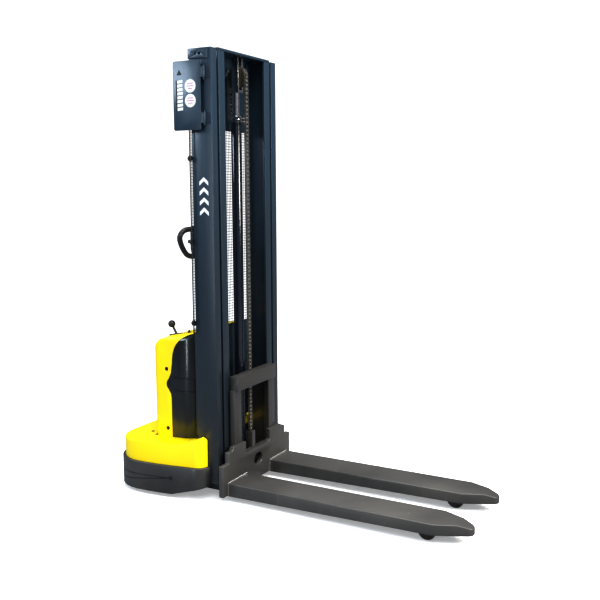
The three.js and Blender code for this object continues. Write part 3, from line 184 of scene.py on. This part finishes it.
class Finish:
    """A material whose Principled shader is fed by nodes."""

    def __init__(self, name):
        self.material = bpy.data.materials.new(name)
        self.material.use_nodes = True
        self.tree = self.material.node_tree
        self.shader = self.tree.nodes["Principled BSDF"]

    def plug(self, socket, value):
        if isinstance(value, Wire):
            self.tree.links.new(value.socket, socket)
        else:
            socket.default_value = value

    def node(self, kind, settings, values, output=0):
        made = self.tree.nodes.new("ShaderNode" + kind)
        for setting, value in settings.items():
            setattr(made, setting, value)
        for key, value in values.items():
            self.plug(made.inputs[key], value)
        return Wire(self, made.outputs[output])

    def mix(self, share, first, second):
        values = {0: share, 6: first, 7: second}
        return self.node("Mix", {"data_type": "RGBA"}, values, output=2)

    def noise(self, place, scale, detail=4.0):
        return self.node("TexNoise", {}, {"Vector": place, "Scale": scale, "Detail": detail})

    def feed(self, **values):
        for socket, value in values.items():
            self.plug(self.shader.inputs[socket.replace("_", " ")], value)


def rgb(colour, factor=1.0):
    return (*(min(1.0, c * factor) for c in colour), 1.0)


def worked_surface(
    name, colour, rough, metal=0.0, coat=0.0, grain=700.0, grain_depth=0.15, mottle=0.25,
    scuff=0.35, scuff_colour=(0.3, 0.3, 0.3), painted_reflection_top=None, dust=0.3,
):
    """A finish with mottled colour, fine grain, upright scuffs and dust that settles near the floor. A top colour,
    when given, is a painted reflection that the colour turns towards with height.
    """
    finish = Finish(name)
    place = finish.node("TexCoord", {}, {}, output="Object")
    height = finish.node("SeparateXYZ", {}, {0: place}, output=2)
    broad = finish.noise(place, 2.6, 6.0)
    fine = finish.noise(place, grain, 2.0)
    long_way = finish.node("Mapping", {}, {"Vector": place, "Scale": (70, 70, 3)})
    streaks = finish.noise(long_way, 1.0, 5.0)
    scratched = ((streaks - 0.66) * 9.0).held() * ((broad - 0.42) * 5.0).held()
    settled = ((0.5 - height) * 1.6).held() * ((broad - 0.36) * 3.0).held()
    ground_and_reflection = rgb(colour)
    # Painted reflection: the colour turns towards the top colour with height, standing in for a cool reflection
    # higher up.
    if painted_reflection_top:
        ground_and_reflection = finish.mix((height * 0.55).held(), rgb(colour), rgb(painted_reflection_top))
    shaded = finish.mix(((broad - 0.3) * (2.2 * mottle)).held(), ground_and_reflection, rgb(colour, 0.55))
    worn = finish.mix((scratched * scuff).held(), shaded, rgb(scuff_colour))
    dusty = finish.mix((settled * dust).held(), worn, (0.34, 0.32, 0.29, 1))
    uneven = ((broad - 0.5) * 0.25 + rough + scratched * 0.12 + settled * (0.3 * dust)).held()
    bumpy = fine * grain_depth + broad * 0.6 - scratched * 0.2
    relief = finish.node("Bump", {}, {"Strength": 0.22, "Distance": 0.0006, "Height": bumpy})
    finish.feed(Base_Color=dusty, Roughness=uneven, Normal=relief, Metallic=metal)
    finish.shader.inputs["Coat Weight"].default_value = coat
    finish.shader.inputs["Coat Roughness"].default_value = 0.12
    return finish.material


# Its top colour is a painted cool reflection that makes the paint bluer up the mast.
mast_paint = worked_surface(
    "mast_paint", (0.017, 0.023, 0.029), 0.36, coat=0.15, grain=420, scuff=0.25,
    scuff_colour=(0.14, 0.16, 0.18), painted_reflection_top=(0.022, 0.045, 0.072), dust=0.15,
)
bodies = frame["record"]["behaviour"]["bodies"]
body_of = {node: body for body, nodes in bodies.items() for node in nodes}


def settle(name, mesh, body, finish, smooth=35):
    """Makes a bmesh a piece that rides on a body, shaded smooth up to an angle in degrees."""
    data = bpy.data.meshes.new(name)
    mesh.to_mesh(data)
    mesh.free()
    data.materials.append(finish)
    data.polygons.foreach_set("use_smooth", [True] * len(data.polygons))
    data.set_sharp_from_angle(angle=radians(smooth))
    piece = bpy.data.objects.new(name, data)
    bpy.context.scene.collection.objects.link(piece)
    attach(piece, body)
    return piece


def rounded(node, finish, width, least=28, segments=2):
    """A copy of a CAD node with its edges rounded, shown in its place."""
    mesh = bmesh.new()
    mesh.from_mesh(frame["nodes"][node].data)
    bmesh.ops.remove_doubles(mesh, verts=mesh.verts, dist=0.00002)
    bmesh.ops.dissolve_limit(mesh, angle_limit=radians(1), verts=mesh.verts, edges=mesh.edges)
    edges = [e for e in mesh.edges if e.is_manifold and e.calc_face_angle(0) > radians(least)]
    bmesh.ops.bevel(
        mesh, geom=edges, offset=width, offset_type="OFFSET", segments=segments, profile=0.5,
        affect="EDGES", material=-1, clamp_overlap=True,
    )
    piece = settle(f"{node}_finished", mesh, body_of[node], finish)
    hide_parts(node)
    return piece


for node in (
    "outer_channel_left", "outer_channel_right", "inner_channel_left", "inner_channel_right",
    "outer_foot_plate", "outer_rear_plate", "outer_top_cross", "inner_top_cross",
    "inner_bottom_cross", "sign_bracket", "straddle_leg_left", "straddle_leg_right",
):
    rounded(node, mast_paint, 0.0016)

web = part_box("outer_channel_right")
mast_rear, mast_front, mast_side = web[0].x, web[1].x, web[0].y


# A plain lift mark on the near web: four chevrons that point up, in white film.
white_film = worked_surface(
    "white_film", (0.85, 0.86, 0.86), 0.4, grain=300, mottle=0.1, scuff=0.1, dust=0.05,
)


def plate(mesh, outline, thickness, turn=Matrix.Identity(4)):
    """A flat plate: an outline of (x, y) points, thickened along z, then turned into place."""
    corners = [mesh.verts.new((x, y, 0)) for x, y in outline]
    face = mesh.faces.new(corners)
    up = bmesh.ops.extrude_face_region(mesh, geom=[face])["geom"]
    raised = [v for v in up if isinstance(v, bmesh.types.BMVert)]
    bmesh.ops.translate(mesh, verts=raised, vec=(0, 0, thickness))
    bmesh.ops.recalc_face_normals(mesh, faces=mesh.faces)
    bmesh.ops.transform(mesh, matrix=turn, verts=corners + raised)


facing_right = Matrix.Rotation(pi / 2, 4, "X")
film_thickness = 0.0006
half, rise, thick = 0.024, 0.02, 0.018
chevron = [(-half, 0), (0, rise), (half, 0), (half, thick), (0, rise + thick), (-half, thick)]
chevron_foot, chevron_pitch = 1.33, 0.045
chevrons = bmesh.new()
for step in range(4):
    height = chevron_foot + chevron_pitch * step
    middle = Vector(((mast_rear + mast_front) / 2 + 0.006, mast_side + 0.0003, height))
    plate(chevrons, chevron, film_thickness, Matrix.Translation(middle) @ facing_right)
settle("lift_mark", chevrons, "chassis", white_film)

# ---- Lift cylinder: a blue-black tube, a bright gland with its clamp, and a chromed rod.
# The tube stands on the foot plate. The rod lifts the inner mast by the yoke at its end.
tube_paint = worked_surface(
    "tube_paint", (0.010, 0.015, 0.026), 0.16, coat=0.6, grain=300, grain_depth=0.04, mottle=0.15,
    dust=0.1,
)
bright_steel = worked_surface(
    "bright_steel", (0.56, 0.57, 0.58), 0.27, metal=1.0, grain=900, grain_depth=0.1, mottle=0.3,
    scuff_colour=(0.3, 0.28, 0.25), dust=0.2,
)
rounded("cylinder_tube", tube_paint, 0.0008)
rounded("cylinder_gland", bright_steel, 0.0008)
rounded("piston_rod", bright_steel, 0.0008)


def rod(mesh, start, end, radius, sides=16, end_radius=None):
    """A round bar between two points."""
    start, end = Vector(start), Vector(end)
    along = end - start
    turned = along.to_track_quat("Z", "Y").to_matrix().to_4x4()
    made = bmesh.ops.create_cone(
        mesh, cap_ends=True, cap_tris=False, segments=sides, radius1=radius,
        radius2=end_radius or radius, depth=along.length,
        matrix=Matrix.Translation((start + end) / 2) @ turned,
    )
    return made["verts"]


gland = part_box("cylinder_gland")
gland_middle = (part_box("cylinder_tube")[0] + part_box("cylinder_tube")[1]) / 2
clamps = bmesh.new()
for side in (-1, 1):
    bolt_y = gland_middle.y + side * 0.034
    for level in (0.006, 0.02):
        foot = Vector((gland_middle.x + 0.006, bolt_y - side * 0.006, gland[0].z + level))
        rod(clamps, foot, foot + Vector((0.03, 0, 0)), 0.0045, 6)
        rod(clamps, foot + Vector((0.028, 0, 0)), foot + Vector((0.036, 0, 0)), 0.0075, 6)
settle("gland_clamp_bolts", clamps, "chassis", bright_steel)

# ---- Lift chain and pulley: roller chain over a dull plated pulley.
# The front strand runs from the pulley down to the carriage and the rear one to the lug on the gland. Each
# link is a pin with its roller and a pair of oval plates.
chain_steel = worked_surface(
    "chain_steel", (0.42, 0.40, 0.36), 0.36, metal=0.8, grain=500, mottle=0.6,
    scuff_colour=(0.7, 0.66, 0.6), dust=0.1,
)
zinc = worked_surface(
    "zinc", (0.2, 0.18, 0.14), 0.4, metal=0.9, grain=400, mottle=0.6, scuff_colour=(0.5, 0.45, 0.35),
    dust=0.1,
)
rounded("chain_pulley", zinc, 0.0006)
pitch, end_margin = 0.01905, 0.008
pulley_low, pulley_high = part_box("chain_pulley")
pulley_centre = (pulley_low + pulley_high) / 2


def chain_link(mesh, place, index, turn=0.0):
    """One pin with its roller, and the plates that reach the next pin, upright before the turn."""
    outward = 0.0024 * (index % 2)
    made = rod(mesh, (0, -0.0098, 0), (0, 0.0098, 0), 0.0026, 6)
    made += rod(mesh, (0, -0.0056, 0), (0, 0.0056, 0), 0.0058, 10)
    for side in (-1, 1):
        inner = side * (0.0060 + outward)
        oval = rod(mesh, (0, inner, pitch / 2), (0, inner + side * 0.002, pitch / 2), 0.0072, 10)
        longer = (1, 1, (pitch / 2 + 0.0068) / 0.0072)
        bmesh.ops.scale(mesh, vec=longer, space=Matrix.Translation((0, 0, -pitch / 2)), verts=oval)
        made += oval
    placed = Matrix.Translation(place) @ Matrix.Rotation(turn, 4, "Y")
    bmesh.ops.transform(mesh, matrix=placed, verts=made)


def strand(name, node, body):
    """A straight run of links in a strand's place."""
    low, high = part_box(node)
    mesh = bmesh.new()
    for index in range(int((high.z - low.z) / pitch)):
        place = Vector(((low.x + high.x) / 2, 0, low.z + end_margin + pitch * index))
        chain_link(mesh, place, index)
    piece = settle(name, mesh, body, chain_steel)
    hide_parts(node)
    return piece


front_strand = strand("front_chain", "lift_chain_front", "inner_mast")
front_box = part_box("lift_chain_front")
travel = next(j for j in frame["joints"] if j["name"] == "carriage_lift")["range_m"][1]
front_length = front_box[1].z - front_box[0].z
(front_length - travel) / front_length
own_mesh(front_strand)

rear_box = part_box("lift_chain_rear")
rear_middle = (rear_box[0] + rear_box[1]) / 2
rear_strand = strand("rear_chain", "lift_chain_rear", "chassis")
rear_strand.parent = None
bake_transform(rear_strand)

chain_radius = front_box[1].x - 0.008 - pulley_centre.x
wrap_links = 8
wrap = bmesh.new()
for index in range(wrap_links):
    angle = pi * (index + 0.1) / wrap_links
    spot = pulley_centre + chain_radius * Vector((cos(angle), 0, sin(angle)))
    chain_link(wrap, spot, index, -angle)
settle("pulley_chain", wrap, "inner_mast", chain_steel)

# A plain white disc on the plate behind the pulley.
disc = bmesh.new()
disc_place = Vector((rear_middle.x - 0.0088, 0.005, pulley_centre.z + 0.021))
rod(disc, disc_place, disc_place + Vector((0.0008, 0, 0)), 0.0185, 32)
settle("pulley_disc", disc, "inner_mast", white_film)

# ---- Guard: welded wire behind the mast, on a rod frame bolted to the channels.
# The wires are 13 mm apart each way. The upright ones lie behind the level ones.
guard_paint = worked_surface("guard_paint", (0.012, 0.013, 0.014), 0.4, grain=500, dust=0.1)
guard_low, guard_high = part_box("mesh_guard")
wire, wire_pitch = 0.0011, 0.013
wires = bmesh.new()
rows = int((guard_high.z - guard_low.z) / wire_pitch)
columns = int((guard_high.y - guard_low.y) / wire_pitch)
for row in range(1, rows):
    z = guard_low.z + (guard_high.z - guard_low.z) * row / rows
    x = guard_high.x - wire
    rod(wires, (x, guard_low.y, z), (x, guard_high.y, z), wire, 6)
for column in range(1, columns):
    y = guard_low.y + (guard_high.y - guard_low.y) * column / columns
    x = guard_low.x + wire
    rod(wires, (x, y, guard_low.z), (x, y, guard_high.z), wire, 6)
edge_x, edge = (guard_low.x + guard_high.x) / 2, 0.003
corners = [
    Vector((edge_x, y, z))
    for y, z in (
        (guard_low.y + edge, guard_low.z + edge),
        (guard_high.y - edge, guard_low.z + edge),
        (guard_high.y - edge, guard_high.z - edge),
        (guard_low.y + edge, guard_high.z - edge),
    )
]
for start, end in zip(corners, corners[1:] + corners[:1]):
    rod(wires, start, end, edge, 8)
guard = settle("wire_guard", wires, "chassis", guard_paint)
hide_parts("mesh_guard")

bolts = bmesh.new()
for side in (-1, 1):
    y = side * 0.29
    for z in (0.837, 1.211, 1.586):
        rod(bolts, (edge_x - 0.006, y, z), (edge_x + 0.001, y, z), 0.0135, 12)
        rod(bolts, (edge_x - 0.012, y, z), (edge_x - 0.006, y, z), 0.008, 6)
settle("guard_bolts", bolts, "chassis", guard_paint)

# ---- Sign plate: a painted steel flag on two painted hinges, beside the mast's top.
# It swings out on its hinges. On it are a ruled white strip, two white discs with plain pink bars and a
# small triangle, cut from film.
sign_low, sign_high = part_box("sign_plate")
rounded("sign_plate", mast_paint, 0.0008)
pink_ink = worked_surface("pink_ink", (0.6, 0.28, 0.42), 0.5, mottle=0.1, dust=0.0)
black_ink = worked_surface("black_ink", (0.01, 0.01, 0.011), 0.4, mottle=0.1, dust=0.0)
face_y = sign_low.y - 0.0001
sign_length = 0.148


def on_sign(x, z):
    """A place on the sign's face, as shares of its length and height from its rear lower corner."""
    height = sign_high.z - sign_low.z
    return Vector((sign_low.x + sign_length * x, face_y, sign_low.z + height * z))


strip, rules = bmesh.new(), bmesh.new()
for step in range(8):
    spot = on_sign(0.255, 0.285 + 0.056 * step)
    bar = [(-0.015, 0), (0.015, 0.003), (0.015, 0.0155), (-0.015, 0.0125)]
    plate(strip, bar, film_thickness, Matrix.Translation(spot) @ facing_right)
rule = [(-0.003, 0), (0.003, 0), (0.003, 0.135), (-0.003, 0.135)]
triangle = [(-0.013, 0), (0.013, 0), (0, 0.023)]
for outline, spot in ((rule, on_sign(0.125, 0.28)), (triangle, on_sign(0.235, 0.8))):
    plate(rules, outline, film_thickness, Matrix.Translation(spot) @ facing_right)
discs, marks = bmesh.new(), bmesh.new()
for height in (0.635, 0.425):
    spot = on_sign(0.63, height)
    rod(discs, spot, spot + Vector((0, -0.0007, 0)), 0.029, 32)
    for offset, wide in ((0.011, 0.015), (0.0, 0.019), (-0.011, 0.012)):
        low, high = offset - 0.0022, offset + 0.0022
        bar = [(-wide, low), (wide, low), (wide, high), (-wide, high)]
        plate(marks, bar, 0.0004, Matrix.Translation(spot + Vector((0, -0.0006, 0))) @ facing_right)
settle("sign_strip", strip, "sign", white_film)
settle("sign_rules", rules, "sign", black_ink)
settle("sign_discs", discs, "sign", white_film)
settle("sign_marks", marks, "sign", pink_ink)

hinges = bmesh.new()
pin_y = mast_side - 0.009
pin_x = sign_high.x - 0.006
for level in (sign_high.z - 0.052, sign_low.z + 0.052):
    rod(hinges, (pin_x, pin_y, level - 0.031), (pin_x, pin_y, level + 0.031), 0.0035, 10)
    leaf = bmesh.ops.create_cube(hinges, size=1)["verts"]
    bmesh.ops.scale(hinges, vec=(0.022, 0.0025, 0.05), verts=leaf)
    bmesh.ops.translate(hinges, vec=(pin_x + 0.016, mast_side - 0.0015, level), verts=leaf)
settle("sign_hinges", hinges, "chassis", mast_paint)

# ---- Carriage and forks: flame-cut plate and folded forks in worn dark grey.
# The forks are welded to the plate with a bare steel bead round their roots.
carriage_paint = worked_surface(
    "carriage_paint", (0.052, 0.051, 0.049), 0.36, coat=0.15, grain=380, mottle=0.3, scuff=0.45,
    scuff_colour=(0.26, 0.25, 0.24), dust=0.2,
)
for node in ("carriage_plate", "carriage_frame", "fork_left", "fork_right"):
    rounded(node, carriage_paint, 0.004, segments=3)

weld_steel = worked_surface(
    "weld_steel", (0.3, 0.3, 0.3), 0.42, metal=0.8, grain=250, grain_depth=0.8, mottle=0.4,
)


def bead(mesh, start, end, radius=0.0032, step=0.0045):
    """A weld bead: overlapping flattened drops from one point to another."""
    start, end = Vector(start), Vector(end)
    count = max(2, int((end - start).length / step))
    for index in range(count + 1):
        drop = bmesh.ops.create_icosphere(mesh, subdivisions=1, radius=radius)["verts"]
        bmesh.ops.translate(mesh, verts=drop, vec=start.lerp(end, index / count))


welds = bmesh.new()
for node in ("fork_left", "fork_right"):
    low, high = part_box(node)
    x = low.x + 0.001
    bead(welds, (x, low.y, low.z + 0.004), (x, low.y, high.z))
    bead(welds, (x, low.y, high.z), (x, high.y, high.z))
    bead(welds, (x, high.y, high.z), (x, high.y, low.z + 0.004))
settle("fork_welds", welds, "carriage", weld_steel)

# ---- Rollers: turned steel in the rails and cast polyurethane under the fork tips.
# The rail rollers carry the inner stage and the carriage. The load rollers stand on the floor through slots
# in the straddle legs.
polyurethane = worked_surface(
    "polyurethane", (0.055, 0.035, 0.022), 0.45, grain=300, mottle=0.4,
    scuff_colour=(0.1, 0.08, 0.06), dust=0.3,
)
for side in ("left", "right"):
    for node in ("outer_roller", "inner_roller", "carriage_roller_lower", "carriage_roller_upper"):
        rounded(f"{node}_{side}", bright_steel, 0.0008)
    rounded(f"load_roller_{side}", polyurethane, 0.0015)

# ---- Base: a charcoal bumper skirt with a yellow cover over it.
# Both are thick mouldings. The skirt has two pressed grooves on each side that meet at a bolt, and black
# countersunk screws hold the cover.
charcoal = worked_surface(
    "charcoal", (0.034, 0.034, 0.035), 0.38, coat=0.1, grain=900, grain_depth=0.3, mottle=0.2,
    scuff=0.3, scuff_colour=(0.14, 0.14, 0.14), dust=0.22,
)
yellow = worked_surface(
    "yellow", (1.0, 0.76, 0.0), 0.4, coat=0.12, grain=260, grain_depth=0.1, mottle=0.06, scuff=0.15,
    scuff_colour=(0.7, 0.42, 0.0), dust=0.03,
)
rounded("bumper_skirt", charcoal, 0.0022)
rounded("lower_cover", yellow, 0.018, least=40, segments=5)
rounded("chassis_frame", guard_paint, 0.001)


def screw(sockets, heads, place, outward, radius=0.009):
    """A countersunk screw: a dark collar round a head with a hexagon socket."""
    place, outward = Vector(place), Vector(outward).normalized()
    rod(sockets, place - outward * 0.001, place + outward * 0.0012, radius, 20)
    rod(heads, place, place + outward * 0.0022, radius * 0.6, 16)
    rod(sockets, place + outward * 0.0018, place + outward * 0.0028, radius * 0.3, 6)


skirt_low, skirt_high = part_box("bumper_skirt")
rear_round, front_round, front_half_width = 0.17, 0.065, 0.35
rear_corner, front_corner = skirt_low.x + rear_round, skirt_high.x - front_round


def skirt_side(x, side):
    """A point's y on the skirt's swelling side, at x, for the side's sign."""
    if x < rear_corner:
        back = (rear_round**2 - (x - rear_corner) ** 2) ** 0.5
        return side * (skirt_high.y - rear_round + back)
    share = (front_corner - x) / (front_corner - rear_corner)
    return side * (front_half_width + (skirt_high.y - front_half_width) * sin(share * pi / 2))


grooves = bmesh.new()
meet, meet_height, groove_run, groove_steps = skirt_high.x - 0.172, 0.1, 0.291, 16
for side in (-1, 1):
    for rear_height in (0.096, 0.060):
        spots = []
        for step in range(groove_steps + 1):
            x = meet - groove_run * step / groove_steps
            z = meet_height + (rear_height - meet_height) * step / groove_steps
            spots.append(Vector((x, skirt_side(x, side), z)))
        for start, end in zip(spots, spots[1:]):
            rod(grooves, start, end, 0.0017, 6)
    bolt = Vector((meet, skirt_side(meet, side), meet_height))
    rod(grooves, bolt, bolt + Vector((0, side * 0.002, 0)), 0.009, 16)
settle("skirt_grooves", grooves, "chassis", black_ink)

sockets, heads = bmesh.new(), bmesh.new()
cover_low, cover_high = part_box("lower_cover")
for side in (-1, 1):
    screw(sockets, heads, (cover_low.x + 0.122, side * 0.206, 0.2513), (-0.03, 0, 1))
    screw(sockets, heads, (cover_low.x + 0.176, side * 0.243, 0.2531), (-0.03, 0, 1))
    screw(sockets, heads, (cover_high.x - 0.039, side * 0.314, cover_high.z), (0, 0, 1))
settle("cover_sockets", sockets, "chassis", black_ink)
settle("cover_screws", heads, "chassis", guard_paint)

# ---- Pillar covers: a yellow rear shell and a glossy black front one.
# They clip together along a line that bulges rearwards. The black cover carries a raised band between two
# grooves, and two black screws hold each side of the yellow one.
gloss_black = worked_surface(
    "gloss_black", (0.006, 0.008, 0.010), 0.3, coat=0.35, grain=200, grain_depth=0.03, mottle=0.1,
    dust=0.04,
)
rounded("pillar_cover", yellow, 0.007, least=24, segments=3)
rounded("pillar_front_cover", gloss_black, 0.002)
front_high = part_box("pillar_front_cover")[1]
corner_radius, corner_steps = 0.09, 12
corner = front_high - Vector((corner_radius, corner_radius, 0))
band, band_grooves = bmesh.new(), bmesh.new()
outline = [Vector((front_high.x - 0.142, front_high.y, 0)), Vector((corner.x, front_high.y, 0))]
for step in range(1, corner_steps + 1):
    angle = step * pi / 2 / corner_steps
    reach = Vector((corner_radius * sin(angle), corner_radius * cos(angle), 0))
    outline.append(Vector((corner.x, corner.y, 0)) + reach)
outline += [Vector((v.x, -v.y, 0)) for v in reversed(outline)]
groove_levels, band_low, band_high = (0.556, 0.490), 0.4935, 0.5525
for level in groove_levels:
    for start, end in zip(outline, outline[1:]):
        lift = Vector((0, 0, level))
        rod(band_grooves, start + lift, end + lift, 0.0022, 6)
middle = Vector((corner.x - 0.05, 0, 0))
for start, end in zip(outline, outline[1:]):
    quad = []
    for spot, level in ((start, band_low), (end, band_low), (end, band_high), (start, band_high)):
        away = (spot - middle).normalized() * 0.0015
        quad.append(band.verts.new((spot.x + away.x, spot.y + away.y, level)))
    band.faces.new(quad)
bmesh.ops.remove_doubles(band, verts=band.verts, dist=0.0001)
bmesh.ops.solidify(band, geom=band.faces[:], thickness=0.0012)
settle("lamp_ring", band, "chassis", gloss_black)
settle("lamp_ring_grooves", band_grooves, "chassis", black_ink)
pillar_low, pillar_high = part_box("pillar_cover")
sockets, heads = bmesh.new(), bmesh.new()
for side in (-1, 1):
    for height in (0.298, 0.592):
        place = (pillar_low.x + 0.099, side * pillar_high.y, height)
        screw(sockets, heads, place, (0, side, 0), 0.0095)
settle("pillar_sockets", sockets, "chassis", black_ink)
settle("pillar_screws", heads, "chassis", guard_paint)

# ---- Drive unit, battery and hydraulics, inside the covers.
# The motor stands on a turntable over the drive wheel, and the column above it carries the tiller. The
# battery and the hydraulic unit stand on the bridge at its sides.
rubber = worked_surface(
    "rubber", (0.028, 0.028, 0.028), 0.7, grain=500, grain_depth=0.6, mottle=0.3, dust=0.6,
)
battery_case = worked_surface("battery_case", (0.05, 0.05, 0.055), 0.5, grain=600)
grey_paint = worked_surface("grey_paint", (0.16, 0.17, 0.18), 0.4, coat=0.2)
for node, finish, width in (
    ("drive_yoke", guard_paint, 0.0015),
    ("drive_motor", guard_paint, 0.004),
    ("steering_column", guard_paint, 0.0015),
    ("drive_hub", bright_steel, 0.0015),
    ("drive_tyre", rubber, 0.005),
    ("battery_pack", battery_case, 0.004),
    ("hydraulic_unit", grey_paint, 0.003),
    ("tiller_pin", bright_steel, 0.001),
):
    rounded(node, finish, width)

# ---- Tiller: a steel arm, a moulded head and two looped grips.
# The grips are hoops of grained black moulding. The throttle's wings stand out from the head between them,
# and the red button is on the head's operator side.
tiller_black = worked_surface(
    "tiller_black", (0.02, 0.02, 0.021), 0.42, grain=1100, grain_depth=0.5, mottle=0.2,
    scuff_colour=(0.1, 0.1, 0.1), dust=0.05,
)
red_moulding = worked_surface(
    "red_moulding", (0.55, 0.012, 0.012), 0.3, coat=0.3, grain=300, mottle=0.1,
)
for node, finish, width in (
    ("tiller_arm", guard_paint, 0.003),
    ("tiller_head", tiller_black, 0.005),
    ("tiller_grip_left", tiller_black, 0.0006),
    ("tiller_grip_right", tiller_black, 0.0006),
    ("throttle", tiller_black, 0.003),
    ("belly_button", red_moulding, 0.003),
):
    rounded(node, finish, width)

# ---- Lift lever and key: on the pillar's sloping top.
# The lever is a black rod with a ball knob, and it moves in a slot with a rubber lip. The key switch is
# black and stands a little proud of the cover.
rounded("lift_lever", tiller_black, 0.0005)
knob_low, knob_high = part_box("lever_knob")
knob_centre = (knob_low + knob_high) / 2
knob = bmesh.new()
knob_radius = (knob_high.x - knob_low.x) / 2
bmesh.ops.create_uvsphere(
    knob, u_segments=40, v_segments=24, radius=knob_radius, matrix=Matrix.Translation(knob_centre)
)
knob_piece = settle("ball_knob", knob, "lever", tiller_black)
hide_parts("lever_knob")
rounded("key_switch", guard_paint, 0.0008)
lip = bmesh.new()
lever_foot = Vector((front_high.x - 0.181, -0.167, 0.7505))
lip_length, lip_width, top_slope, lip_steps = 0.037, 0.0165, 0.178, 28
for step in range(lip_steps):
    ends = []
    for angle in (2 * pi * step / lip_steps, 2 * pi * (step + 1) / lip_steps):
        reach = lip_length * cos(angle)
        ends.append(lever_foot + Vector((reach, lip_width * sin(angle), top_slope * (reach - 0.008))))
    rod(lip, *ends, 0.0032, 8)
settle("lever_lip", lip, "chassis", rubber)

# ---- Casters: two swivel casters under the deck.
# Each fork turns freely under the deck, behind its own side of the mast, and carries a cast wheel.
for side in ("left", "right"):
    rounded(f"caster_fork_{side}", bright_steel, 0.0008)
    rounded(f"caster_wheel_{side}", polyurethane, 0.003)
